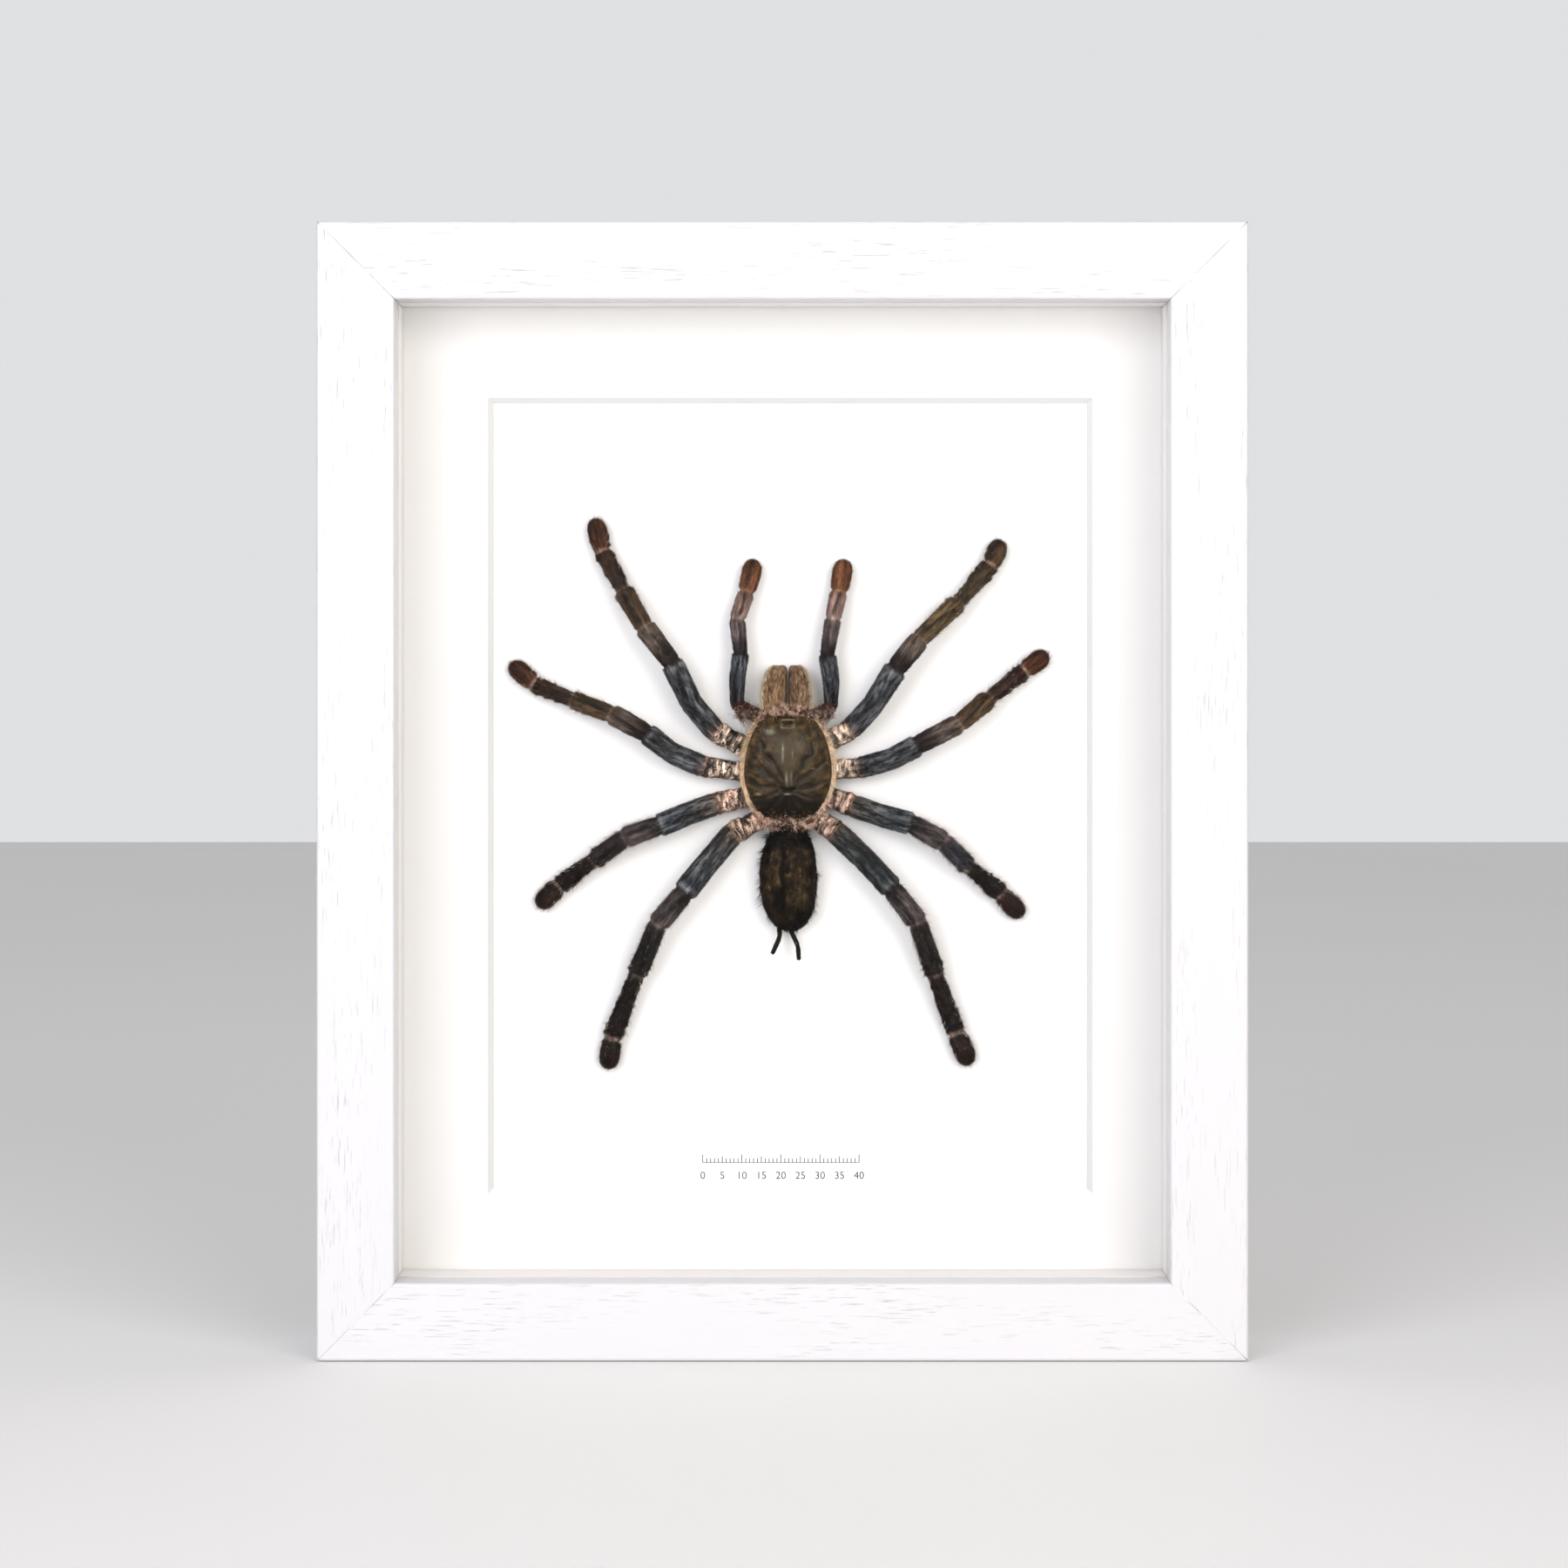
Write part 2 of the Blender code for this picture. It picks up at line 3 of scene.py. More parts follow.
import bpy
import numpy as np
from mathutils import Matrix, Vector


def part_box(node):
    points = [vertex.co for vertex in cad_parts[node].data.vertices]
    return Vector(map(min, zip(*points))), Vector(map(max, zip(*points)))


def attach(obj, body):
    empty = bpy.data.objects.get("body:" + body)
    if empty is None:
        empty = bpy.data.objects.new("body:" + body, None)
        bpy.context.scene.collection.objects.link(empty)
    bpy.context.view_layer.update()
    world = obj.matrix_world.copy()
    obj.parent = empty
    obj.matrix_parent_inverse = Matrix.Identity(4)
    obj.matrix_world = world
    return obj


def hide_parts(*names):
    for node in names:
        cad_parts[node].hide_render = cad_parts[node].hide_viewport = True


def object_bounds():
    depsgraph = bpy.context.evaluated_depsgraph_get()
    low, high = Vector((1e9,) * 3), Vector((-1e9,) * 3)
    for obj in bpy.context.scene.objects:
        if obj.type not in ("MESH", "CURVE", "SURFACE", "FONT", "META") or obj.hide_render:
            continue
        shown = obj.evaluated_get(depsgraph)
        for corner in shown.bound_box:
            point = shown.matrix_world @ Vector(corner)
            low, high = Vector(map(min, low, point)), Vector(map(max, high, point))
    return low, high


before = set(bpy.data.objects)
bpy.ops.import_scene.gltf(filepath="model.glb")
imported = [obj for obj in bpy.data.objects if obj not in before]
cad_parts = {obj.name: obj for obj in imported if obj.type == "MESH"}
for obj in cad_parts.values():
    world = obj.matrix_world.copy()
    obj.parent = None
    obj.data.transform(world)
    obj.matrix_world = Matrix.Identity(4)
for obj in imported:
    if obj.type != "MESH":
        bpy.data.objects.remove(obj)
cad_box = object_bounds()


# Studio: the photograph was taken square on from about a metre, with the lens level with the
# spider's chest and the view shifted down. A cool and a warm softbox stand to the left and right,
# in a pale room with windows behind the frame, and the frame stands on a pale floor.
MM = 0.001
FULL_TURN = 2 * math.pi
PHOTO_SIDE = 1800
PHOTO_HORIZON = 757
MM_PER_PIXEL = 0.2177
CAMERA_DISTANCE = 1060 * MM
CAMERA_X = 0.4 * MM
CAMERA_HEIGHT = 175.4 * MM
SENSOR = 36
ROOM_LIGHT = 0.17
CEILING_LIGHT = 0.60
ROOM_BEHIND = 1.2
ROOM_SEEN = (0.74, 0.75, 0.76, 1.0)
ROOM_MIRRORED = 0.05
SOFTBOX_SIZE = 0.95
SOFTBOX_DISTANCE = 1.7
SOFTBOX_TURN = 25.5
SOFTBOX_RISE = 13
SOFTBOX_WATTS = 16.2
COOL_LAMP = (0.965, 0.955, 1.0)
WARM_LAMP = (1.0, 0.95, 0.885)
FLOOR_HALF = 3
FLOOR_DROP = 0.2 * MM
OVEREXPOSED = 1.2


def node(tree, kind, inputs=(), **settings):
    """A shader node: inputs maps a socket to a value, to another node's output or to a node, which
    stands for its first output."""
    made = tree.nodes.new("ShaderNode" + kind)
    for name, value in settings.items():
        setattr(made, name, value)
    for socket, value in dict(inputs).items():
        if isinstance(value, bpy.types.Node):
            value = value.outputs[0]
        if isinstance(value, bpy.types.NodeSocket):
            tree.links.new(value, made.inputs[socket])
        else:
            made.inputs[socket].default_value = value
    return made


def mapped(tree, value, start=0.0, end=1.0, low=0.0, high=1.0):
    """A value that goes from start to end, made to go from low to high and held there."""
    return node(tree, "MapRange", {"Value": value, "From Min": start, "From Max": end, "To Min": low,
                                   "To Max": high})


def product(tree, first, second):
    """Two numbers multiplied."""
    return node(tree, "Math", {0: first, 1: second}, operation="MULTIPLY")


def noise(tree, place, scale, detail=2.0, roughness=0.5, distortion=0.0):
    """Cloudy noise, from about 0.3 to 0.7."""
    return node(tree, "TexNoise", {"Vector": place, "Scale": scale, "Detail": detail, "Roughness": roughness,
                                   "Distortion": distortion})


def mixed(tree, share, first, second):
    """A share of the second colour over the first."""
    return node(tree, "MixRGB", {"Fac": share, "Color1": first, "Color2": second})


def place_on(tree):
    """Where a point is on its object, in metres."""
    return node(tree, "TexCoord").outputs["Object"]


def wire(tree, target, **sources):
    """Links nodes or outputs to the target's sockets of the same names."""
    for socket, source in sources.items():
        output = source.outputs[0] if isinstance(source, bpy.types.Node) else source
        tree.links.new(output, target.inputs[socket.replace("_", " ").title()])


def screen(red, green, blue):
    """A colour as the photograph shows it, 0 to 255, turned into the light that it stands for, less
    the share by which the lamps overexpose the picture's whites."""
    share = np.array([red, green, blue]) / 255
    light = np.where(share <= 0.04045, share / 12.92, ((share + 0.055) / 1.055) ** 2.4)
    return (*(light / OVEREXPOSED).tolist(), 1.0)


def finish(name, **sockets):
    """A new material and its Principled shader, with plain values set on the shader's sockets."""
    material = bpy.data.materials.new(name)
    material.use_nodes = True
    shader = material.node_tree.nodes["Principled BSDF"]
    for socket, value in sockets.items():
        shader.inputs[socket.replace("_", " ").title().replace("Ior", "IOR")].default_value = value
    return material, material.node_tree, shader


front_face = cad_box[0].y
camera = bpy.data.objects.new("camera", bpy.data.cameras.new("camera"))
camera.location = (CAMERA_X, front_face - CAMERA_DISTANCE, CAMERA_HEIGHT)
camera.rotation_euler = (math.radians(90), 0, 0)
camera.data.sensor_width = SENSOR
camera.data.lens = SENSOR * CAMERA_DISTANCE / (PHOTO_SIDE * MM_PER_PIXEL * MM)
camera.data.shift_y = (PHOTO_HORIZON - PHOTO_SIDE / 2) / PHOTO_SIDE
bpy.context.scene.collection.objects.link(camera)
bpy.context.scene.camera = camera
bpy.context.scene.view_settings.view_transform = "Standard"

middle_height = (cad_box[0].z + cad_box[1].z) / 2
for side, turn, colour in (("left", -SOFTBOX_TURN, COOL_LAMP), ("right", SOFTBOX_TURN, WARM_LAMP)):
    softbox = bpy.data.objects.new(f"softbox_{side}", bpy.data.lights.new(f"softbox_{side}", "AREA"))
    softbox.data.size = SOFTBOX_SIZE
    softbox.data.energy = SOFTBOX_WATTS
    softbox.data.color = colour
    across = math.sin(math.radians(turn)) * math.cos(math.radians(SOFTBOX_RISE))
    back = -math.cos(math.radians(turn)) * math.cos(math.radians(SOFTBOX_RISE))
    up = math.sin(math.radians(SOFTBOX_RISE))
    softbox.location = (across * SOFTBOX_DISTANCE, back * SOFTBOX_DISTANCE,
                        middle_height + up * SOFTBOX_DISTANCE)
    softbox.rotation_euler = (math.radians(90 - SOFTBOX_RISE), 0, math.radians(turn))
    bpy.context.scene.collection.objects.link(softbox)

room = bpy.data.worlds.new("room")
room.use_nodes = True
tree = room.node_tree
way = node(tree, "SeparateXYZ", {0: node(tree, "TexCoord").outputs["Generated"]})
overhead = mapped(tree, way.outputs["Z"], -0.1, low=ROOM_LIGHT, high=CEILING_LIGHT)
windows = mapped(tree, way.outputs["Y"], -0.05, 0.5, 1.0, ROOM_BEHIND)
strength = product(tree, overhead, windows)
light = node(tree, "Background", {"Color": (0.99, 0.975, 1.0, 1.0), "Strength": strength})
wall = node(tree, "Background", {"Color": ROOM_SEEN, "Strength": 1.0})
dark = mapped(tree, way.outputs["Y"], -0.05, 0.3, ROOM_MIRRORED, 1.0)
behind_lens = node(tree, "Background", {"Color": ROOM_SEEN, "Strength": dark})
path = node(tree, "LightPath")
mirrored = node(tree, "Math", {0: path.outputs["Is Glossy Ray"], 1: path.outputs["Is Transmission Ray"]},
                operation="MAXIMUM")
lit = node(tree, "MixShader", {0: mirrored, 1: light, 2: behind_lens})
seen = node(tree, "MixShader", {0: path.outputs["Is Camera Ray"], 1: lit, 2: wall})
wire(tree, tree.nodes["World Output"], surface=seen)
bpy.context.scene.world = room

floor_mesh = bpy.data.meshes.new("floor")
corners = [(FLOOR_HALF * x, FLOOR_HALF * y, -FLOOR_DROP) for x, y in ((-1, -1), (1, -1), (1, 1), (-1, 1))]
floor_mesh.from_pydata(corners, [], [(0, 1, 2, 3)])
floor = bpy.data.objects.new("floor", floor_mesh)
bpy.context.scene.collection.objects.link(floor)
material, tree, shader = finish("pale_floor", roughness=0.55)
cloud = noise(tree, place_on(tree), 3.0, 4.0)
tone = mixed(tree, cloud, (0.90, 0.90, 0.89, 1), (0.94, 0.94, 0.93, 1))
wire(tree, shader, base_color=tone)
floor_mesh.materials.append(material)
floor.visible_glossy = False
floor.visible_transmission = False


# Rails: four lengths of ash moulding, mitred and glued at the corners and sprayed white. The paint
# is thin enough that the open grain still shows as short dents along each rail.
def bump(tree, height, strength, distance, **settings):
    """Relief from a height, for a shader's normal."""
    return node(tree, "Bump", {"Height": height, "Strength": strength, "Distance": distance}, **settings)


def open_grain():
    """A group that turns a place into pores, short dents along its X, and a slow change of tone."""
    group = bpy.data.node_groups.new("open_grain", "ShaderNodeTree")
    group.interface.new_socket("Vector", in_out="INPUT", socket_type="NodeSocketVector")
    group.interface.new_socket("Pores", in_out="OUTPUT", socket_type="NodeSocketFloat")
    group.interface.new_socket("Tone", in_out="OUTPUT", socket_type="NodeSocketFloat")
    place = group.nodes.new("NodeGroupInput")
    long = node(group, "Mapping", {"Vector": place, "Scale": (130, 2300, 2300)})
    streaks = noise(group, long, 1.0, 2.0, 0.6)
    dents = mapped(group, streaks, 0.60, 0.72)
    patches = node(group, "Mapping", {"Vector": place, "Scale": (14, 90, 90)})
    where = noise(group, patches, 1.0, 2.0)
    rich = mapped(group, where, 0.42, 0.62)
    pores = product(group, dents, rich)
    out = group.nodes.new("NodeGroupOutput")
    wire(group, out, pores=pores, tone=where)
    return group


grain = open_grain()
for way, turn, sides in (("level", 0, ("top", "bottom")), ("upright", 90, ("left", "right"))):
    material, tree, shader = finish(f"painted_wood_{way}", roughness=0.42)
    place = node(tree, "Mapping", {"Vector": place_on(tree), "Rotation": (0, math.radians(turn), 0)})
    wood = node(tree, "Group", node_tree=grain)
    wire(tree, wood, vector=place)
    paint = mixed(tree, wood.outputs["Tone"], (0.655, 0.652, 0.675, 1), (0.70, 0.696, 0.715, 1))
    dented = mixed(tree, wood.outputs["Pores"], paint, (0.50, 0.50, 0.52, 1))
    rough = mapped(tree, wood.outputs["Pores"], low=0.40, high=0.62)
    relief = bump(tree, wood.outputs["Pores"], 0.5, 0.0002, invert=True)
    wire(tree, shader, base_color=dented, roughness=rough, normal=relief)
    for side in sides:
        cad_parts[f"rail_{side}"].material_slots[0].material = material


def ramp(tree, factor, stops):
    """Colours along a factor: stops holds (place, colour as a screen shows it)."""
    made = node(tree, "ValToRGB", {"Fac": factor})
    band = made.color_ramp
    while len(band.elements) < len(stops):
        band.elements.new(0.5)
    for element, (place, colour) in zip(band.elements, stops):
        element.position = place
        element.color = screen(*colour)
    return made.outputs["Color"]


# Mitre fill: the glue line at each corner is rubbed with filler, a hair below the painted face. Its grey,
# which fades in and out, is painted shade of the fine crack along the joint.
mitre_shade_paint, tree, shader = finish("mitre_line_shade", roughness=0.7)
# Painted shade of the joint's crack, broken so that the line fades in and out.
mitre_shade_breaks = noise(tree, place_on(tree), 160.0, 3.0)
tone = ramp(tree, mitre_shade_breaks, [(0.40, (186, 180, 182)), (0.60, (238, 236, 242))])
wire(tree, shader, base_color=tone)
RAIL_WIDTH = 19.5
WALL_WIDTH = 14.5
LIP_DEPTH = 10.0
RAIL_DEPTH = 35.0
EDGE_ROUND = 0.8
FILL_HALF = 0.07
FILL_BELOW = 0.06
section = np.array([
    # in from the outer edge and back from the front face, in mm
    (EDGE_ROUND, FILL_BELOW),
    (RAIL_WIDTH - EDGE_ROUND, FILL_BELOW),
    (RAIL_WIDTH - FILL_BELOW, EDGE_ROUND),
    (RAIL_WIDTH - FILL_BELOW, LIP_DEPTH - FILL_BELOW),
    (WALL_WIDTH - FILL_BELOW, LIP_DEPTH - FILL_BELOW),
    (WALL_WIDTH - FILL_BELOW, RAIL_DEPTH - 2 * FILL_BELOW),
    (4 * FILL_BELOW, RAIL_DEPTH - 2 * FILL_BELOW),
    (2 * FILL_BELOW, EDGE_ROUND),
])
count = len(section)
walls = [(here, (here + 1) % count, (here + 1) % count + count, here + count) for here in range(count)]
for corner, right, up in (("top_left", -1, 1), ("top_right", 1, 1), ("bottom_left", -1, -1), ("bottom_right", 1, -1)):
    points = []
    for tilt in (-FILL_HALF, FILL_HALF):
        across, rise = section[:, 0] + tilt, section[:, 0] - tilt
        x = cad_box[1].x - MM * across if right > 0 else cad_box[0].x + MM * across
        z = cad_box[1].z - MM * rise if up > 0 else cad_box[0].z + MM * rise
        points.append(np.column_stack([x, front_face + MM * section[:, 1], z]))
    mesh = bpy.data.meshes.new(f"mitre_fill_{corner}")
    mesh.from_pydata(np.vstack(points), [], [tuple(range(count))[::-1], tuple(range(count, 2 * count)), *walls])
    if right * up > 0:
        mesh.flip_normals()
    mesh.materials.append(mitre_shade_paint)
    fill = bpy.data.objects.new(f"mitre_fill_{corner}", mesh)
    bpy.context.scene.collection.objects.link(fill)
    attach(fill, "root")


# Glass: one pane of 2 mm picture glass behind the lip, clean, with a faint green in its thickness.
material, tree, shader = finish("picture_glass", base_color=(0.985, 0.99, 0.985, 1), roughness=0.0, ior=1.5,
                                transmission_weight=1.0, metallic=0.0)
path = node(tree, "LightPath")
clear = node(tree, "BsdfTransparent", {"Color": (1, 1, 1, 1)})
bounced = node(tree, "MixShader", {0: path.outputs["Is Diffuse Ray"], 1: shader, 2: clear})
pane = node(tree, "MixShader", {0: path.outputs["Is Shadow Ray"], 1: bounced, 2: clear})
wire(tree, tree.nodes["Material Output"], surface=pane)
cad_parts["glass"].material_slots[0].material = material


# Spacers and window mount: white board. The spacers are foam board strips on edge, and the mount is
# one sheet of cotton board with a bevelled window, whose white core has painted shade on three sides.
SPACERS = ["spacer_top", "spacer_bottom", "spacer_left", "spacer_right"]
for name, warm, glint_noise, nodes in (
    ("spacer_board", (0.84, 0.82, 0.80, 1), (0.80, 0.78, 0.76, 1), SPACERS),
    ("mount_board", (0.84, 0.835, 0.83, 1), (0.81, 0.805, 0.80, 1), ["window_mount"]),
    ("card", (0.955, 0.955, 0.955, 1), (0.935, 0.935, 0.935, 1), ["specimen_card"]),
):
    material, tree, shader = finish(name, roughness=0.85)
    place = place_on(tree)
    fibres = noise(tree, place, 1400.0, 3.0, 0.7)
    tone = mixed(tree, fibres, glint_noise, warm)
    if name == "mount_board":
        # Painted shade: the window's bevel faces are grey, all but the bottom one, which faces up.
        facing = node(tree, "SeparateXYZ", {0: node(tree, "NewGeometry").outputs["True Normal"]})
        bevel = mapped(tree, facing.outputs["Y"], -0.95, -0.8)
        below = mapped(tree, facing.outputs["Z"], 0.3, 0.6, 1.0, 0.0)
        painted_bevel_shade = product(tree, bevel, below)
        tone = mixed(tree, painted_bevel_shade, tone, (0.70, 0.70, 0.70, 1))
    tooth = bump(tree, fibres, 0.07, 0.0001)
    wire(tree, shader, base_color=tone, normal=tooth)
    for piece in nodes:
        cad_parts[piece].material_slots[0].material = material


# Chest: the soft, wrinkled underside that carries the legs, hidden under the shield except for its
# hairy rim. The spider was dried with its legs spread, so the skin between the hips is drawn in folds.
SPECIMEN = np.array([1.4 * MM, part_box("specimen_card")[0].y, 148.1 * MM])
CHEST_SECTIONS = np.array([
    # z, half width, low lift, high lift, in mm from the middle of the shield
    (14.6, 4.6, 3.6, 6.0),
    (13.6, 6.6, 2.8, 7.0),
    (11.0, 8.8, 1.8, 7.4),
    (6.7, 10.3, 1.2, 7.6),
    (0.0, 11.3, 1.0, 7.6),
    (-6.2, 10.6, 1.0, 7.6),
    (-10.5, 9.3, 1.2, 7.4),
    (-13.6, 7.4, 1.8, 7.0),
    (-15.4, 5.0, 2.6, 6.2),
])


def stacked(*parts):
    """Numbers or arrays side by side along a new last axis."""
    return np.stack(np.broadcast_arrays(*parts), axis=-1)


def lumps(places, seed):
    """Smooth random heights from -1 to 1: numbers on a lattice one unit apart, blended between the
    eight nearest corners with a weight that eases in and out."""
    lattice = np.random.default_rng(seed).uniform(-1, 1, (29, 31, 37))
    cell = np.floor(places).astype(int)
    share = places - cell
    share = share * share * (3 - 2 * share)
    height = 0
    for corner in np.ndindex(2, 2, 2):
        weight = np.where(corner, share, 1 - share).prod(axis=-1)
        index = np.moveaxis((cell + corner) % lattice.shape, -1, 0)
        height = height + weight * lattice[tuple(index)]
    return height


def eased(places, known, table, softness):
    """A table read at fine places: straight lines between its rows, averaged over +-softness."""
    order = np.argsort(known)
    near = np.clip(places[:, None] + np.linspace(-softness, softness, 9), known.min(), known.max())
    return np.stack([np.interp(near, known[order], column[order]).mean(axis=1) for column in table.T], axis=-1)


def sections(table, count, softness):
    """Fine rows down a table of cross-sections, and its other columns read there."""
    rows = np.linspace(table[0, 0], table[-1, 0], count)
    return rows, *eased(rows, table[:, 0], table[:, 1:], softness).T[:, :, None]


def oval(places, squareness):
    """Angles round a ring, and their cosines and sines raised to a power, which squares it off."""
    angle = np.linspace(0, FULL_TURN, places, endpoint=False)
    return angle, *(np.sign(wave) * abs(wave) ** squareness for wave in (np.cos(angle), np.sin(angle)))


def show(piece, name, *nodes):
    """Links a piece, which rides on the one body, in place of the CAD nodes, which it hides. The name is not used."""
    bpy.context.scene.collection.objects.link(piece)
    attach(piece, "root")
    if nodes:
        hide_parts(*nodes)


def shaded(tree, colour, light, share=1.0):
    """A colour times a number or another colour."""
    return node(tree, "MixRGB", {"Fac": share, "Color1": colour, "Color2": light}, blend_type="MULTIPLY")


def keep_values(mesh, values):
    """Stores one number or vector for each point under its name, for the material to read."""
    for name, value in values.items():
        kind = "FLOAT" if value.ndim == 1 else "FLOAT_VECTOR"
        field = "value" if value.ndim == 1 else "vector"
        mesh.attributes.new(name, kind, "POINT").data.foreach_set(field, value.astype(np.float32).ravel())


def skin(name, rings, material, **values):
    """A closed skin over rings[ring, place] in mm, whose end rings close in a point. values holds
    numbers or vectors for the same points."""
    rows, places = rings.shape[:2]
    points = np.concatenate([rings.reshape(-1, 3), rings[[0, -1]].mean(axis=1)])
    here = np.arange(rows * places).reshape(rows, places)
    beside = np.roll(here, -1, axis=1)
    walls = stacked(here[:-1], here[1:], beside[1:], beside[:-1]).reshape(-1, 4)
    first, last = rows * places, rows * places + 1
    start = stacked(here[0], beside[0], np.full(places, first))
    end = stacked(beside[-1], here[-1], np.full(places, last))
    mesh = bpy.data.meshes.new(name)
    mesh.from_pydata(SPECIMEN + MM * points, [], walls.tolist() + start.tolist() + end.tolist())
    mesh.shade_smooth()
    corners = points[walls]
    volume = np.einsum("ij,ij->", corners[:, 0], np.cross(corners[:, 1], corners[:, 2]))
    volume += np.einsum("ij,ij->", corners[:, 0], np.cross(corners[:, 2], corners[:, 3]))
    if volume < 0:
        mesh.flip_normals()
    for key, value in values.items():
        flat = value.reshape(rows * places, *value.shape[2:])
        values[key] = np.concatenate([flat, value[[0, -1]].mean(axis=1)])
    keep_values(mesh, values)
    mesh.materials.append(material)
    return bpy.data.objects.new(name, mesh)


def roots_on(rings, count, seed):
    """Places for hairs on a skin: quads drawn by their area and a random point in each. Returns the
    points, the outward and lengthwise directions there, and each quad's ring and place."""
    along = (rings[1:] - rings[:-1])
    across = (np.roll(rings, -1, axis=1) - rings)[:-1]
    outward = np.cross(along, across)
    area = np.linalg.norm(outward, axis=-1)
    chance = np.random.default_rng(seed)
    row, place = np.divmod(chance.choice(area.size, count, p=(area / area.sum()).ravel()), area.shape[1])
    share = chance.random((2, count, 1))
    points = rings[row, place] + share[0] * along[row, place] + share[1] * across[row, place]
    outward = outward[row, place] / area[row, place][:, None]
    outward *= np.sign(((points - rings.mean(axis=1)[row]) * outward).sum(axis=-1, keepdims=True))
    lengthwise = along[row, place] / np.linalg.norm(along[row, place], axis=-1, keepdims=True)
    return points, outward, lengthwise, row, place


def hairs(name, roots, leans, lengths, width, material, joints=1, bend=0.0, **values):
    """Joined tapering hairs. Each is a three-sided spike along a parabola: at share t of its length it
    is at root + length * (t * lean + t squared * bend), and its width falls off evenly to its tip."""
    count = len(roots)
    leans = leans / np.linalg.norm(leans, axis=-1, keepdims=True)
    side = np.cross(leans, (0.31, 0.93, 0.2))
    side /= np.linalg.norm(side, axis=-1, keepdims=True)
    other = np.cross(leans, side)
    turns = np.arange(3) * FULL_TURN / 3
    girdle = np.cos(turns)[:, None] * side[:, None, None] + np.sin(turns)[:, None] * other[:, None, None]
    share = np.linspace(0, 1, joints + 1)[:, None]
    spine = share * leans[:, None] + share ** 2 * (bend + 0 * leans)[:, None]
    spine = roots[:, None] + np.broadcast_to(lengths, count)[:, None, None] * spine
    walls = spine[:, :-1, None] + 0.5 * width * (1 - share[:-1, None]) * girdle
    points = np.concatenate([walls.reshape(count, -1, 3), spine[:, -1:]], axis=1)
    around = [(3 * ring + place, 3 * ring + (place + 1) % 3) for ring in range(joints) for place in range(3)]
    pattern = [(2, 1, 0)]
    for here, beside in around[:-3]:
        pattern += [(here, beside, beside + 3), (here, beside + 3, here + 3)]
    pattern += [(here, beside, 3 * joints) for here, beside in around[-3:]]
    faces = (points.shape[1] * np.arange(count)[:, None, None] + np.array(pattern)).reshape(-1, 3)
    mesh = bpy.data.meshes.new(name)
    mesh.from_pydata(SPECIMEN + MM * points.reshape(-1, 3), [], faces.tolist())
    values = {key: np.repeat(value, points.shape[1], axis=0) for key, value in values.items()}
    values["reach"] = np.tile(np.append(np.repeat(share[:-1, 0], 3), 1.0), count)
    values["strand"] = np.repeat(np.random.default_rng(count).random(count), points.shape[1])
    keep_values(mesh, values)
    mesh.materials.append(material)
    return bpy.data.objects.new(name, mesh)


def read(tree, name, output="Fac"):
    """The output of a node that reads one of a mesh's own values."""
    return node(tree, "Attribute", attribute_name=name).outputs[output]


chest_skin, tree, shader = finish("chest_skin", roughness=0.8, specular_ior_level=0.15)
creases = noise(tree, place_on(tree), 900.0, 4.0)
flesh = ramp(tree, creases, [(0.36, (52, 30, 24)), (0.47, (128, 88, 74)), (0.56, (186, 142, 122)),
                             (0.70, (214, 178, 158))])
# Painted shade: the skin is darker down in its folds.
pit = mapped(tree, read(tree, "fold"), -0.6, 0.1, 0.35)
flesh_with_painted_fold_shade = shaded(tree, flesh, pit)
relief = bump(tree, creases, 0.6, 0.0003)
wire(tree, shader, base_color=flesh_with_painted_fold_shade, normal=relief)

chest_rows, half, low, high = sections(CHEST_SECTIONS, 110, 0.8)
angle, spread, rise = oval(96, 0.8)
chest_rings = stacked(half * spread, -(low + high) / 2 - rise * (high - low) / 2, chest_rows[:, None])
fold = lumps(chest_rings * (0.9, 0.9, 1.1), 3) + 0.6 * lumps(chest_rings * 2.1, 4)
chest = skin("chest", chest_rings * (1 + 0.035 * fold[..., None] * (1, 1, 0)), chest_skin, fold=fold)
show(chest, "carapace_shell", "cephalothorax")


# Carapace: the hard shield over the head and chest. It is moulted as one plate, domed over the head,
# with grooves that run out between the hips from a short pit, and eight eyes on a low mound in front.
SHIELD_OUTLINE = np.array([
    # half width and z, from the front round to the back, in mm
    (0.0, 13.5), (3.2, 13.4), (5.3, 13.0), (6.4, 12.3), (8.1, 10.2), (9.7, 6.7), (10.6, 3.3), (11.1, -0.4),
    (11.0, -3.3), (10.3, -6.2), (9.0, -9.3), (7.7, -11.2), (6.0, -12.5), (4.2, -13.1), (2.0, -13.1), (0.0, -12.8),
])
PIT_Z = -5.8
MOUND_Z = 10.9
SHIELD_EDGE_LIFT = 7.2
GROOVE_TURNS = (0.53, 0.98, 1.42, 1.86, 2.42)


def outline_reach(angle):
    """How far the shield's edge is from its middle at each angle, eased over a few degrees."""
    x, z = SHIELD_OUTLINE.T
    known = np.arctan2(z, x)
    both = np.concatenate([known, math.pi - known])
    far = np.tile(np.hypot(x, z), 2)
    near = angle[:, None] + np.linspace(-0.07, 0.07, 9)
    return np.interp(near, both, far, period=FULL_TURN).mean(axis=1)


